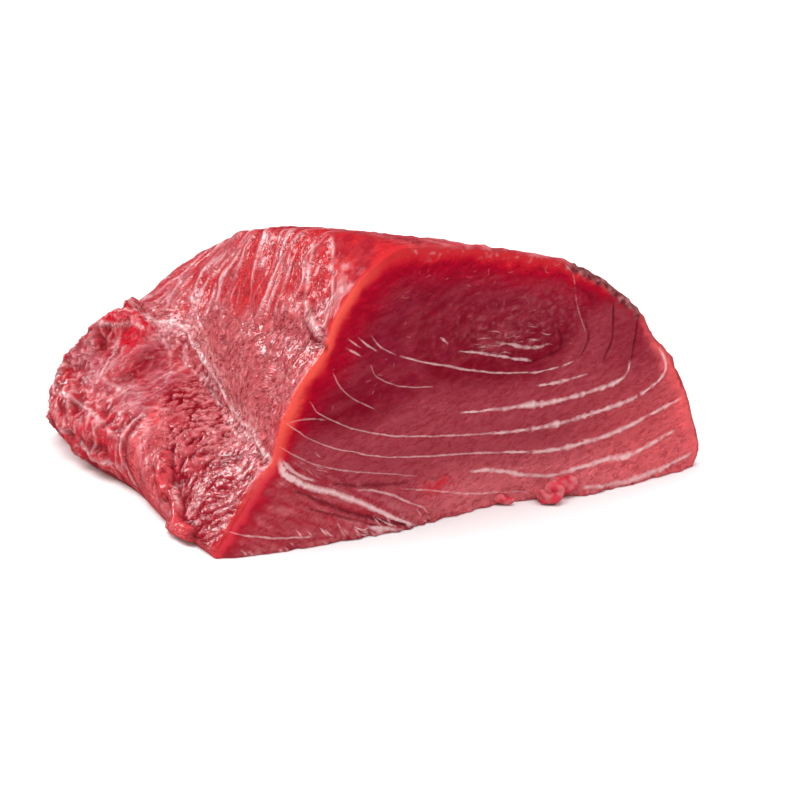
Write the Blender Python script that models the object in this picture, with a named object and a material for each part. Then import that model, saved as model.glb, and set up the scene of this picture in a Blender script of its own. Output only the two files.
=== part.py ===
"""Raw tuna loin block: one thick cut of raw tuna, lying on its trimmed underside.

The form is a loft. A chain of arcs makes each cross-section, and the corners of the chain run
back along the block as smooth rails. The front end is a flat knife cut, the back end a rounder
one. Small folds, curls and flakes that stand out of the meat are joined on.

All sizes are in millimetres and are turned into metres at the end. While the block is built,
+X runs right along the front cut, +Y runs into the block and +Z is up, with the origin at the
left foot of the front cut. The finished part has its origin under the middle of its own box.
"""

import math

import bmesh
import bpy
import numpy as np
from mathutils import Vector

MM = 0.001
NAME = "tuna_steak"

# The middle of the finished block's box, as (x, y) in the frame it is built in.
MIDDLE = (73.36, 60.83)

# Driving sizes: the distance along the block of each station, from the front cut to the back.
STATIONS = (0.0, 30.0, 60.0, 90.0, 118.0)

# Rails: where each corner of the cross-section is, as (x, z) at the five stations.
RAILS = {
    "foot_left": ((-3.4, 0.0), (-4.0, 0.0), (-2.0, 0.0), (-5.2, 0.0), (-3.6, 0.0)),
    "flank_top": ((-3.8, 2.6), (-5.0, 5.5), (-3.4, 15.5), (-8.4, 14.5), (-6.0, 14.0)),
    "crease": ((14.6, 25.0), (19.0, 25.0), (23.5, 25.5), (24.0, 31.5), (22.0, 38.0)),
    "waist": ((31.2, 54.8), (29.4, 52.0), (32.0, 49.5), (35.0, 49.0), (34.5, 44.6)),
    "ridge": ((55.0, 80.2), (45.5, 79.8), (43.5, 73.8), (46.0, 65.0), (48.0, 52.6)),
    "crown": ((104.0, 71.4), (102.0, 65.8), (100.0, 62.0), (99.0, 57.6), (97.0, 51.0)),
    "shoulder": ((134.6, 51.6), (133.6, 49.5), (132.6, 47.0), (130.0, 43.5), (126.0, 39.0)),
    "cheek": ((146.4, 35.6), (146.6, 34.0), (146.0, 32.0), (143.0, 29.5), (138.0, 26.5)),
    "hip": ((157.2, 8.0), (156.8, 9.0), (155.6, 9.5), (151.5, 10.0), (145.0, 10.0)),
    "foot_right": ((154.6, 0.0), (153.8, 0.0), (152.2, 0.0), (148.0, 0.0), (141.0, 0.0)),
}

# Spans between the rails: (how far each arc stands out at the five stations, its steps).
SPANS = (
    ("foot_left", "flank_top", (0.2, 0.6, 1.4, 1.2, 1.0), 5),
    ("flank_top", "crease", (0.3, 0.8, 3.6, 2.4, 1.8), 13),
    ("crease", "waist", (2.6, 1.0, 0.4, 0.2, -0.4), 10),
    ("waist", "ridge", (4.2, 1.8, 1.0, 0.6, 0.2), 11),
    ("ridge", "crown", (1.5, 1.0, 1.2, 1.4, 2.2), 12),
    ("crown", "shoulder", (1.9, 1.2, 1.2, 1.2, 1.4), 9),
    ("shoulder", "cheek", (-1.2, 0.4, 0.8, 1.0, 1.2), 6),
    ("cheek", "hip", (0.8, 1.2, 1.6, 1.8, 2.0), 8),
    ("hip", "foot_right", (1.2, 1.4, 1.6, 1.6, 1.6), 3),
    ("foot_right", "foot_left", (0.0, 0.0, 0.0, 0.0, 0.0), 15),
)

# How many rows run along the block, and how many rings close each end.
ROWS = 36
FRONT_RINGS = 8
BACK_RINGS = 6

# The back end: how far its edge is rounded over, and how far its middle bulges out.
BACK_ROUND = 5.0
BACK_ROUND_ROWS = 3
BACK_BULGE = 3.5
BACK_MIDDLE = 0.45
BACK_SLANT = 0.05

# The front cut: how far its lower edge spreads forward, as (x, reach), and how high that starts.
FOOT_SPREAD = ((-4, 0.0), (4, 3.0), (22, 5.0), (50, 6.2), (74, 2.4), (88, 0.2), (100, 3.4))
FOOT_SPREAD += ((115, 7.0), (136, 4.4), (148, 2.6), (158, 0.0))
SPREAD_TOP = 9.0

# The front cut: its middle as (x, z), a shallow hollow round the eye of the muscle and a low
# swell under it. The relief fades out towards the edge, the later the higher EDGE_HOLD is.
CUT_MIDDLE = (78.0, 32.0)
EYE = (90.0, 53.0)
EYE_SIZE = (24.0, 12.0)
EYE_DEPTH = 1.1
SWELL = (70.0, 22.0)
SWELL_SIZE = (46.0, 9.0)
SWELL_HEIGHT = 0.7
EDGE_HOLD = 6

# A place on the skin side is (distance along the block, place on the chain): 1.25 on the chain is
# a quarter of the way along the second span.

# Relief starts at the foot and is whole from this height up.
FOOT_HOLD = 2.0

# Grooves and hollows in the skin side: name, places of the line, half width and depth.
GROOVES = (
    ("crease", ((0, 2.0), (29, 2.03), (54, 2.1), (78, 2.2), (95, 2.26), (106, 2.1)), 2.8, 1.7),
    ("flank_fold", ((63, 1.3), (62.5, 1.05), (61.5, 0.7), (57, 0.35), (52, 0.1)), 2.4, 2.8),
    ("dome_pit", ((91, 1.8), (89, 1.58)), 6.0, 3.4),
    ("shelf_fold", ((0, 3.0), (8, 3.04), (13, 3.14), (16, 3.24)), 2.4, 1.8),
    ("end_step", ((108, 1.3), (92, 1.1), (80, 1.0), (70, 0.86)), 2.0, 1.5),
    ("end_foot", ((114, 0.5), (100, 0.45), (84, 0.4), (72, 0.3)), 2.0, 1.5),
)

# Ridges and swellings in the skin side, stated the same way.
RIDGES = (
    ("dome_lip", ((117, 1.35), (117, 1.6), (113, 1.84), (106, 1.98)), 5.0, 3.6),
    ("flap_swell", ((44, 1.45), (36, 1.6)), 8.0, 1.0),
    ("side_swell", ((40, 2.6), (60, 2.7)), 13.0, 1.6),
    ("end_lobe", ((112, 0.9), (98, 0.85), (82, 0.75)), 3.4, 1.2),
)

# Folds that are joined on: name, then (distance, place on the chain, lift off the skin, radius).
FOLDS = (
    ("ear", ((35, 1.12, 0.3, 1.5), (41, 1.1, 0.8, 1.9), (44.5, 1.2, 0.6, 2.0), (40, 1.3, 0.5, 2.0),
             (35, 1.2, 0.6, 1.9), (31, 1.14, 0.4, 1.7))),
    ("tube", ((31, 1.14, 0.2, 1.6), (26, 1.1, 0.8, 1.9), (21, 1.0, 0.8, 2.2), (20, 0.6, 0.8, 2.4))),
    ("foot_curl", ((25, 0.5, 1.0, 2.0), (20, 0.5, 2.2, 2.6), (15, 0.6, 1.4, 2.4), (10, 0.9, 0.2, 1.6))),
    ("rim_tag", ((2, 3.03, -0.3, 1.3), (8, 3.1, 0.4, 1.9), (13, 3.22, 0.3, 1.7), (17, 3.3, -0.4, 1.2))),
    ("tip_nub", ((116, 2.04, -0.5, 2.6), (117, 2.06, 2.4, 1.4))),
    ("end_flake_low", ((113, 0.6, 0.2, 2.2), (104, 0.7, 0.6, 2.4), (96, 0.6, -0.2, 1.8))),
    ("end_flake_high", ((115, 1.2, 0.2, 2.2), (108, 1.14, 0.7, 2.3), (100, 1.06, -0.2, 1.7))),
    ("end_flake_foot", ((92, 0.4, 0.0, 2.0), (83, 0.45, 0.5, 2.2), (74, 0.4, -0.2, 1.7))),
)

# Curls at the lower edge of the front cut: name, then (x, y, z, radius).
CURLS = (
    ("front_curl", ((97.5, -3.0, 3.4, 1.6), (100.0, -7.2, 2.6, 2.3), (104.2, -6.4, 3.6, 2.2),
                    (104.6, -2.6, 5.4, 1.6))),
    ("front_tag", ((91.5, 0.5, 1.8, 1.8), (93.0, -3.4, 1.2, 1.0))),
)
FOLD_SIDES = 8
FOLD_STEP = 2.2
END_ROUND = 0.6

MEAT_COLOUR = (0.36, 0.035, 0.05, 1.0)
MEAT_ROUGHNESS = 0.32


def clear_scene():
    """Take every object out of the open scene."""
    for item in list(bpy.data.objects):
        bpy.data.objects.remove(item)


def smooth_along(values, y):
    """Cubic through one value, or row of values, at each station, read at the distance y."""
    places = np.array(STATIONS)
    rows = np.array(values, float)
    last = len(places) - 1
    i = int(np.clip(np.searchsorted(places, y) - 1, 0, last - 1))
    slopes = np.gradient(rows, places, axis=0)
    width = places[i + 1] - places[i]
    t = (y - places[i]) / width
    near = (1 + 2 * t) * (1 - t) ** 2 * rows[i] + t * (1 - t) ** 2 * width * slopes[i]
    far = t * t * (3 - 2 * t) * rows[i + 1] - t * t * (1 - t) * width * slopes[i + 1]
    return near + far


def skin_place(y, place):
    """Point of the skin side and the direction out of it, at a distance and a place on the chain."""
    number = min(int(place), len(SPANS) - 1)
    start, end, bulges, _ = SPANS[number]
    a = smooth_along(RAILS[start], y)
    chord = smooth_along(RAILS[end], y) - a
    outward = np.array((-chord[1], chord[0])) / np.linalg.norm(chord)
    t = place - number
    x, z = a + chord * t + outward * smooth_along(bulges, y) * 4 * t * (1 - t)
    slant = y / STATIONS[-1] * BACK_SLANT * x
    return np.array((x, y + slant, z)), np.array((outward[0], 0.0, outward[1]))


def section(y):
    """Closed ring of the skin side at the distance y, clockwise seen from the front."""
    ring = []
    for number, span in enumerate(SPANS):
        steps = span[-1]
        ring.extend(skin_place(y, number + k / steps)[0] for k in range(steps))
    return np.array(ring)


def bump(distance, half_width):
    """Round hump that is 1 at no distance and fades out past its half width."""
    return np.exp(-((distance / half_width) ** 2))


def distance_to_line(points, line):
    """Shortest distance from each point to a line through the given places on the skin."""
    best = np.full(len(points), 1e9)
    spots = [skin_place(y, place)[0] for y, place in line]
    for a, b in zip(spots[:-1], spots[1:]):
        along = b - a
        t = np.clip((points - a) @ along / (along @ along), 0, 1)
        gap = np.linalg.norm(points - a - t[:, None] * along, axis=1)
        best = np.minimum(best, gap)
    return best


def side_rings():
    """Rings of the skin side from the front cut to the start of the back end's rounded edge."""
    return [section(y) for y in np.linspace(0.0, STATIONS[-1], ROWS)]


def outward_of(ring):
    """Unit vectors that point out of a ring, in its own plane."""
    along = np.roll(ring, -1, axis=0) - np.roll(ring, 1, axis=0)
    out = np.column_stack((-along[:, 2], np.zeros(len(ring)), along[:, 0]))
    return out / np.maximum(np.linalg.norm(out, axis=1), 1e-9)[:, None]


def add_relief(rings):
    """Push the skin side in along the grooves and out along the ridges, and keep its foot level."""
    shaped = []
    for ring in rings:
        shift = np.zeros(len(ring))
        for _, line, width, height in RIDGES:
            shift += height * bump(distance_to_line(ring, line), width)
        for _, line, width, depth in GROOVES:
            shift -= depth * bump(distance_to_line(ring, line), width)
        above_foot = np.clip(ring[:, 2] / FOOT_HOLD, 0, 1)
        shaped.append(ring + outward_of(ring) * (shift * above_foot)[:, None])
    return shaped


def back_rings(ring):
    """Rings of the rounded edge and the bulging cut at the back, from the last side ring inward."""
    centre = ring.mean(axis=0)
    centre[2] = ring[:, 2].max() * BACK_MIDDLE
    reach = np.linalg.norm((ring - centre)[:, [0, 2]], axis=1)
    rings = []
    for k in range(1, BACK_ROUND_ROWS + 1):
        angle = math.pi / 2 * k / BACK_ROUND_ROWS
        inset = BACK_ROUND * (1 - math.cos(angle))
        moved = centre + (ring - centre) * (1 - inset / reach)[:, None]
        moved[:, 1] = ring[:, 1] + BACK_ROUND * math.sin(angle)
        moved[:, 2] = np.where(ring[:, 2] < 0.01, 0.0, moved[:, 2])
        rings.append(moved)
    edge = rings[-1]
    centre[1] += BACK_ROUND
    for k in range(1, BACK_RINGS):
        share = 1 - k / BACK_RINGS
        moved = centre + (edge - centre) * share
        moved[:, 1] += BACK_BULGE * (1 - share ** 2)
        rings.append(moved)
    tip = centre.copy()
    tip[1] += BACK_BULGE
    return rings, tip


def foot_spread(x, z):
    """How far the front cut's lower edge spreads forward at x, fading out with the height z."""
    places = [place for place, _ in FOOT_SPREAD]
    reaches = [reach for _, reach in FOOT_SPREAD]
    return np.interp(x, places, reaches) * bump(z, SPREAD_TOP)


def cut_relief(x, z):
    """How far the middle of the front cut stands back (+) from its flat plane."""
    eye = ((x - EYE[0]) / EYE_SIZE[0]) ** 2 + ((z - EYE[1]) / EYE_SIZE[1]) ** 2
    swell = ((x - SWELL[0]) / SWELL_SIZE[0]) ** 2 + ((z - SWELL[1]) / SWELL_SIZE[1]) ** 2
    return EYE_DEPTH * np.exp(-eye) - SWELL_HEIGHT * np.exp(-swell)


def front_rings(ring):
    """Rings of the front cut, from its edge to its middle, and the point in the middle."""
    centre = np.array((CUT_MIDDLE[0], 0.0, CUT_MIDDLE[1]))
    rings = []
    for k in range(FRONT_RINGS):
        share = 1 - k / FRONT_RINGS
        moved = centre + (ring - centre) * share
        relief = cut_relief(moved[:, 0], moved[:, 2]) * (1 - share ** EDGE_HOLD)
        moved[:, 1] = relief - foot_spread(moved[:, 0], moved[:, 2])
        rings.append(moved)
    tip = centre.copy()
    tip[1] = cut_relief(centre[0], centre[2]) - foot_spread(centre[0], centre[2])
    return rings, tip


def mesh_object(name, points, faces):
    """New object from points in millimetres and faces, with its faces turned outward."""
    data = bpy.data.meshes.new(name)
    data.from_pydata([tuple(float(v) * MM for v in p) for p in points], [], faces)
    shape = bmesh.new()
    shape.from_mesh(data)
    bmesh.ops.recalc_face_normals(shape, faces=shape.faces)
    shape.to_mesh(data)
    shape.free()
    item = bpy.data.objects.new(name, data)
    bpy.context.scene.collection.objects.link(item)
    return item


def closed_loft(name, rings, start, end):
    """Solid through the rings, closed by a fan round the start point and one round the end point."""
    count = len(rings[0])
    points = [start]
    for ring in rings:
        points.extend(ring)
    points.append(end)
    faces = []
    for k in range(count):
        n = (k + 1) % count
        faces.append((0, 1 + n, 1 + k))
        for r in range(len(rings) - 1):
            a = 1 + r * count
            b = a + count
            faces.append((a + k, a + n, b + n, b + k))
        last = 1 + (len(rings) - 1) * count
        faces.append((last + k, last + n, len(points) - 1))
    return mesh_object(name, points, faces)


def make_block():
    """The block itself: skin side with its relief, front cut and back end in one closed solid."""
    sides = add_relief(side_rings())
    inner, start = front_rings(sides[0])
    outer, end = back_rings(sides[-1])
    return closed_loft(NAME, inner[::-1] + sides[1:] + outer, start, end)


def skin_fold(name, line):
    """A fold that follows places on the skin, each lifted off it by its own height."""
    spots = []
    for y, place, lift, radius in line:
        spot, outward = skin_place(y, place)
        spots.append((*(spot + outward * lift), radius))
    return make_fold(name, spots)


def even_steps(line):
    """Points and radii at even steps along a line of (x, y, z, radius)."""
    rows = np.array(line, float)
    path = [rows[0]]
    for a, b in zip(rows[:-1], rows[1:]):
        steps = max(1, round(np.linalg.norm((b - a)[:3]) / FOLD_STEP))
        path.extend(a + (b - a) * k / steps for k in range(1, steps + 1))
    return [Vector(row[:3]) for row in path], [float(row[3]) for row in path]


def make_fold(name, line):
    """A round roll of meat with blunt ends that follows a line and never goes below the foot."""
    places, sizes = even_steps(line)
    rings = []
    side = (places[1] - places[0]).orthogonal().normalized()
    for i, place in enumerate(places):
        ahead = (places[min(i + 1, len(places) - 1)] - places[max(i - 1, 0)]).normalized()
        side = (side - ahead * side.dot(ahead)).normalized()
        other = ahead.cross(side)
        ring = []
        for k in range(FOLD_SIDES):
            angle = 2 * math.pi * k / FOLD_SIDES
            spot = place + (side * math.cos(angle) + other * math.sin(angle)) * sizes[i]
            ring.append((spot.x, spot.y, max(spot.z, 0.0)))
        rings.append(np.array(ring))
    first = places[0] + (places[0] - places[1]).normalized() * sizes[0] * END_ROUND
    last = places[-1] + (places[-1] - places[-2]).normalized() * sizes[-1] * END_ROUND
    first.z = max(first.z, 0.0)
    last.z = max(last.z, 0.0)
    return closed_loft(name, rings, tuple(first), tuple(last))


def join_folds(block, folds):
    """Join every fold to the block with one Boolean union, then take the folds away."""
    group = bpy.data.collections.new("folds")
    bpy.context.scene.collection.children.link(group)
    for item in folds:
        bpy.context.scene.collection.objects.unlink(item)
        group.objects.link(item)
    union = block.modifiers.new("join_folds", "BOOLEAN")
    union.operation = "UNION"
    union.operand_type = "COLLECTION"
    union.collection = group
    union.solver = "MANIFOLD"
    bpy.context.view_layer.update()
    evaluated = block.evaluated_get(bpy.context.evaluated_depsgraph_get())
    joined = bpy.data.meshes.new_from_object(evaluated)
    block.modifiers.clear()
    block.data = joined
    for item in folds:
        bpy.data.objects.remove(item)
    bpy.data.collections.remove(group)


def place_on_origin(block):
    """Move the mesh so that the origin is under the middle of its box, at the level it rests on."""
    for vertex in block.data.vertices:
        vertex.co.x -= MIDDLE[0] * MM
        vertex.co.y -= MIDDLE[1] * MM


def paint(block):
    """One wet red material for the whole block."""
    material = bpy.data.materials.new("raw_tuna")
    material.use_nodes = True
    shader = material.node_tree.nodes["Principled BSDF"]
    shader.inputs["Base Color"].default_value = MEAT_COLOUR
    shader.inputs["Roughness"].default_value = MEAT_ROUGHNESS
    shader.inputs["Metallic"].default_value = 0.0
    block.data.materials.clear()
    block.data.materials.append(material)


def main():
    """Build the block and its folds as one solid on the origin."""
    clear_scene()
    block = make_block()
    folds = [skin_fold(name, line) for name, line in FOLDS]
    folds += [make_fold(name, line) for name, line in CURLS]
    join_folds(block, folds)
    place_on_origin(block)
    paint(block)
    block.data.shade_smooth()
    block.data.set_sharp_from_angle(angle=math.radians(40))


main()
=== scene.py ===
"""Looks of a raw tuna loin block: one wet mesh of meat with its muscle layers and membranes.

Sizes are in millimetres in the frame that the block is shaped in: +X right along the front cut,
+Y from the front cut into the block, +Z up, with the origin at the left foot of the front cut.
row_frame() turns them into metres in the part's own frame. A place on the skin side is (distance
along the block, place on the chain of arcs): 1.25 on the chain is a quarter of the way along the
second arc. A place on the front cut is (x, z).
"""

import math

import bpy
import numpy as np
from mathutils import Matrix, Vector, geometry, kdtree


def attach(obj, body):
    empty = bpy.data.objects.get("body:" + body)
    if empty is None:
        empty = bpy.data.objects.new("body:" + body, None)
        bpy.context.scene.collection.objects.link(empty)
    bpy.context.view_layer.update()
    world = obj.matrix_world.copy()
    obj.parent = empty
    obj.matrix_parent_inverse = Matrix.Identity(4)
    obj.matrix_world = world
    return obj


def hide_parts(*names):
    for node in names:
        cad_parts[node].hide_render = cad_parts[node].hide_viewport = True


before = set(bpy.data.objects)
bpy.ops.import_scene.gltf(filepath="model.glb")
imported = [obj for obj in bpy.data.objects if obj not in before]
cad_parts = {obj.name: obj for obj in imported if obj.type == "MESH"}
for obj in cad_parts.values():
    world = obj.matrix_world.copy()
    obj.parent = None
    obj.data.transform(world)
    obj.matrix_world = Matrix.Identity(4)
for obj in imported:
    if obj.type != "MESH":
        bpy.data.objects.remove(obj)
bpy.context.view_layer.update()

BODY = "root"
NODE = "tuna_steak"
MM = 0.001

# The middle of the block's box, as (x, y) in the frame that the block is shaped in.
MIDDLE = (73.36, 60.83)

# The camera, in millimetres in the same frame: where it stands and what it looks at.
CAMERA_AT = (-239.1, -539.3, 235.9)
CAMERA_TO = (56.17, 3.81, 35.0)
CAMERA_LENS = 104.137
CAMERA_SENSOR = 36.0

# The distance along the block of each station, from the front cut to the back.
STATIONS = (0.0, 30.0, 60.0, 90.0, 118.0)
LENGTH = STATIONS[-1]

# The chain of arcs round the section: (name of the corner, its (x, z) at the stations, how far
# the arc to the next corner stands out at the stations, size of the mesh's steps along the arc).
CHAIN = (
    ("foot_left", ((-3.4, 0.0), (-4.0, 0.0), (-2.0, 0.0), (-5.2, 0.0), (-3.6, 0.0)),
     (0.2, 0.6, 1.4, 1.2, 1.0), 0.7),
    ("flank_top", ((-3.8, 2.6), (-5.0, 5.5), (-3.4, 15.5), (-8.4, 14.5), (-6.0, 14.0)),
     (0.3, 0.8, 3.6, 2.4, 1.8), 0.54),
    ("crease", ((14.6, 25.0), (19.0, 25.0), (23.5, 25.5), (24.0, 31.5), (22.0, 38.0)),
     (2.6, 1.0, 0.4, 0.2, -0.4), 0.52),
    ("waist", ((31.2, 54.8), (29.4, 52.0), (32.0, 49.5), (35.0, 49.0), (34.5, 44.6)),
     (4.2, 1.8, 1.0, 0.6, 0.2), 0.54),
    ("ridge", ((55.0, 80.2), (45.5, 79.8), (43.5, 73.8), (46.0, 65.0), (48.0, 52.6)),
     (1.5, 1.0, 1.2, 1.4, 2.2), 1.5),
    ("crown", ((104.0, 71.4), (102.0, 65.8), (100.0, 62.0), (99.0, 57.6), (97.0, 51.0)),
     (1.9, 1.2, 1.2, 1.2, 1.4), 1.4),
    ("shoulder", ((134.6, 51.6), (133.6, 49.5), (132.6, 47.0), (130.0, 43.5), (126.0, 39.0)),
     (-1.2, 0.4, 0.8, 1.0, 1.2), 1.4),
    ("cheek", ((146.4, 35.6), (146.6, 34.0), (146.0, 32.0), (143.0, 29.5), (138.0, 26.5)),
     (0.8, 1.2, 1.6, 1.8, 2.0), 1.5),
    ("hip", ((157.2, 8.0), (156.8, 9.0), (155.6, 9.5), (151.5, 10.0), (145.0, 10.0)),
     (1.2, 1.4, 1.6, 1.6, 1.6), 1.0),
    ("foot_right", ((154.6, 0.0), (153.8, 0.0), (152.2, 0.0), (148.0, 0.0), (141.0, 0.0)),
     (0.0, 0.0, 0.0, 0.0, 0.0), 2.0),
)
ARCS = len(CHAIN) - 1
ROW_STEP = 0.57
CORNER_ROUNDING = 6
TINY = 1e-9

# The edges: how far the front cut's edge is rounded over, as (place on the chain, rounding), how
# far behind the cut the shell's even rows start, and the back end's edge, whose middle bulges out.
FRONT_ROUND = ((0.0, 0.3), (0.6, 0.6), (1.8, 0.6), (3.0, 0.5), (4.0, 0.6), (5.0, 0.6), (8.0, 0.8),
    (9.0, 0.3))
FRONT_ROUND_ROWS = 5
FRONT_START = 1.3
BACK_ROUND = 5.0
BACK_ROUND_ROWS = 6
BACK_BULGE = 3.5
BACK_SLANT = 0.05

# The height over which relief and fine relief start at the foot.
FOOT_HOLD = 2.0

# The front cut's foot: how far it spreads forward, as (x, reach), the height up to which it does
# so, and how far back the skin side follows.
FOOT_SPREAD = ((-4, 0.0), (4, 3.0), (22, 5.0), (50, 6.2), (74, 2.4), (88, 0.2), (100, 3.4), (115, 7.0),
    (136, 4.4), (148, 2.6), (158, 0.0))
SPREAD_TOP = 9.0
SPREAD_FADE = 14.0

# The eye of the muscle, where the cut is a shallow hollow, and the low swell under it.
EYE = (90.0, 53.0)
EYE_SIZE = (24.0, 12.0)
EYE_DEPTH = 1.1
SWELL = (70.0, 22.0)
SWELL_SIZE = (46.0, 9.0)
SWELL_HEIGHT = 0.7
EYE_WRINKLED = (90, 49)

# Grooves and ridges in the skin side: name, line, half width, and depth or height. A line's
# points are (distance, place on the chain).
GROOVES = {
    "crease": (((0, 2.0), (29, 2.03), (54, 2.1), (78, 2.2), (95, 2.26), (106, 2.1)), 2.8, 1.7),
    "flank_fold": (((63, 1.3), (62.5, 1.05), (61.5, 0.7), (57, 0.35), (52, 0.1)), 2.4, 2.8),
    "dome_pit": (((91, 1.8), (89, 1.58)), 5.4, 4.2),
    "shelf_fold": (((0, 3.0), (8, 3.04), (13, 3.14), (16, 3.24)), 2.4, 1.8),
    "end_step": (((108, 1.3), (92, 1.1), (80, 1.0), (70, 0.86)), 2.0, 1.5),
    "end_foot": (((114, 0.5), (100, 0.45), (84, 0.4), (72, 0.3)), 2.0, 1.5),
}
RIDGES = {
    "dome_lip": (((117, 1.35), (117, 1.6), (113, 1.84), (106, 1.98)), 5.0, 3.6),
    "lip_corner": (((118, 1.68), (114, 1.86)), 4.0, 1.0),
    "flap_swell": (((44, 1.45), (36, 1.6)), 8.0, 1.0),
    "side_swell": (((40, 2.6), (60, 2.7)), 13.0, 1.6),
    "end_lobe": (((112, 0.9), (98, 0.85), (82, 0.75)), 3.4, 1.2),
}

# Folds that stand out of the skin side as round rolls: name, line, height, half width.
ROLLS = {
    "ear": (((33, 1.1), (38, 1.14), (43, 1.22)), 1.9, 2.0),
    "tube": (((32, 1.14), (26, 1.1), (21, 1.0), (20, 0.6), (21, 0.3)), 1.9, 1.4),
    "foot_curl": (((24, 0.36), (20, 0.42), (16, 0.56), (13, 0.74)), 2.8, 1.8),
    "rim_tag": (((5, 3.1), (8, 3.12), (12, 3.18), (16, 3.3)), 1.1, 1.8),
    "tip_nub": (((115, 2.03), (118, 2.05)), 3.0, 2.0),
    "end_flake_low": (((113, 0.6), (104, 0.7), (96, 0.6)), 2.6, 2.6),
    "end_flake_high": (((115, 1.2), (108, 1.14), (100, 1.06)), 2.8, 2.6),
    "end_flake_foot": (((92, 0.4), (83, 0.45), (74, 0.4)), 2.2, 2.4),
}

# About how long an arc of the chain is, how far apart the points of a strand lie, how far from
# its outermost point it is looked for, and the parts that each piece of a curve is cut into.
ARC_SIZE = 33.0
STRAND_STEP = 2.0
STRAND_REACH = 9.0
CURVE_PARTS = 24

# Membrane strands on the skin side: name, line, half width, whiteness, height, how broken.
STRANDS = {
    "crease_seam": (((1, 1.99), (9, 2.0), (18, 2.05), (29, 2.07), (41, 2.09), (54, 2.17), (63, 2.22),
        (71, 2.24), (78, 2.3), (87, 2.36), (97, 2.3), (104, 2.16), (109, 2.06)), 0.85, 1.0, 0.4, 0.0),
    "crease_upper": (((40, 2.13), (54, 2.27), (63, 2.36), (74, 2.5), (85, 2.62), (92, 2.78),
        (100, 2.9)), 0.6, 0.6, 0.2, 0.5),
    "crease_lower": (((20, 1.96), (32, 1.94), (44, 1.97), (56, 2.02), (66, 2.1)), 0.7, 0.6, 0.2, 0.7),
    "band_high": (((104, 2.16), (110, 2.02), (115, 1.9), (118, 1.8)), 0.6, 0.9, 0.4, 0.3),
    "band_low": (((100, 1.98), (106, 1.9), (113, 1.76), (117, 1.66)), 0.6, 0.8, 0.4, 0.3),
    "dome_strand": (((109, 1.8), (106, 1.66), (102, 1.5), (97, 1.32)), 0.6, 0.8, 0.25, 0.3),
    "dome_arc": (((100, 2.06), (95, 2.0), (86, 1.94), (79, 1.84), (72, 1.7)), 0.7, 0.5, 0.2, 0.6),
    "dome_arc_low": (((98, 1.4), (88, 1.4), (80, 1.44), (72, 1.5)), 0.7, 0.5, 0.2, 0.6),
    "fold_edge": (((66, 1.38), (64.5, 1.22), (64.5, 1.0), (64, 0.72), (60, 0.42),
        (54, 0.16)), 0.6, 0.9, 0.5, 0.3),
    "fold_top": (((66, 1.38), (61, 1.45), (56, 1.5)), 0.5, 0.6, 0.2, 0.5),
    "end_line": (((118, 1.02), (108, 1.06), (99, 1.1), (90, 1.12), (82, 1.1), (75, 1.02),
        (68, 0.94)), 0.6, 0.9, 0.3, 0.4),
    "end_low": (((106, 0.62), (97, 0.66), (87, 0.68), (79, 0.46), (71, 0.38),
        (64, 0.36)), 0.6, 0.9, 0.3, 0.4),
    "end_drop_a": (((99, 1.1), (95, 0.9), (92, 0.68)), 0.5, 0.7, 0.2, 0.5),
    "end_drop_b": (((82, 1.1), (78, 0.8), (79, 0.46)), 0.5, 0.7, 0.2, 0.5),
    "rim_line": (((24, 3.96), (19, 3.8), (14, 3.62), (8, 3.42), (5, 3.24),
        (4, 3.1)), 0.5, 0.85, 0.3, 0.25),
    "streak_a": (((30, 3.9), (25, 3.66), (21, 3.46), (18, 3.3)), 0.9, 0.7, 0.2, 0.5),
    "streak_b": (((37, 3.98), (40, 3.76), (41, 3.5), (41, 3.24), (43, 3.04)), 0.8, 0.6, 0.2, 0.5),
    "streak_c": (((58, 4.0), (58, 3.7), (55, 3.46), (51, 3.2)), 0.9, 0.7, 0.2, 0.5),
    "streak_d": (((74, 3.8), (83, 3.44), (90, 3.1), (91, 2.8), (89, 2.5)), 0.9, 0.8, 0.2, 0.4),
    "streak_e": (((96, 3.94), (110, 3.5), (109, 3.0), (104, 2.5), (98, 2.34)), 0.9, 0.6, 0.2, 0.5),
    "notch_skin": (((3, 3.06), (7, 3.12), (11, 3.2), (17, 3.34)), 1.2, 0.9, 0.4, 0.5),
    "tube_light": (((33, 1.2), (28, 1.16), (23, 1.08)), 0.6, 0.8, 0.0, 0.2),
    "end_frill": (((116, 1.34), (116, 1.18), (114, 1.0), (117, 0.8)), 0.9, 0.8, 0.4, 0.5),
}

# Borders of the skin side's regions: places on the chain at distances along the block, except the
# facet's edge and the flank's fold, which are distances at places on the chain.
FACET_EDGE = ((3.05, 2), (3.24, 5), (3.42, 8), (3.62, 14), (3.8, 19), (3.96, 24), (4.1, 27))
FOLD_AT = ((0, 52), (0.35, 57), (0.7, 61.5), (1.05, 62.5), (1.3, 63), (1.5, 66), (2.0, 72))
UPPER_LOW = ((0, 3.3), (20, 3.26), (40, 3.1), (60, 2.98), (80, 2.75), (100, 2.45), (118, 2.3))
CREASE_PLACE = ((0, 1.98), (29, 2.04), (54, 2.13), (78, 2.26), (95, 2.32), (106, 2.14), (118, 1.9))
FLAP_LOW = ((0, 0.55), (12, 0.8), (22, 1.02), (32, 1.1), (44, 1.24), (56, 1.4), (62, 1.5))
DOME_LOW = ((60, 1.3), (75, 1.22), (90, 1.24), (105, 1.3), (118, 1.36))
RIND_LOW = ((0, 5.14), (40, 5.24), (118, 5.5))
RIND_HIGH = ((0, 6.0), (40, 5.9), (118, 5.7))

# The middle of the dome's whorl: its distance along the block and its place on the chain.
WHORL = np.array(((90.0,), (1.72,)))

# How far the streaks lean forward for each arc below the ridge, at distances along the block.
STREAK_LEAN = ((0, 6.0), (30, 3.0), (60, -2.0), (118, -9.0))

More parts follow.
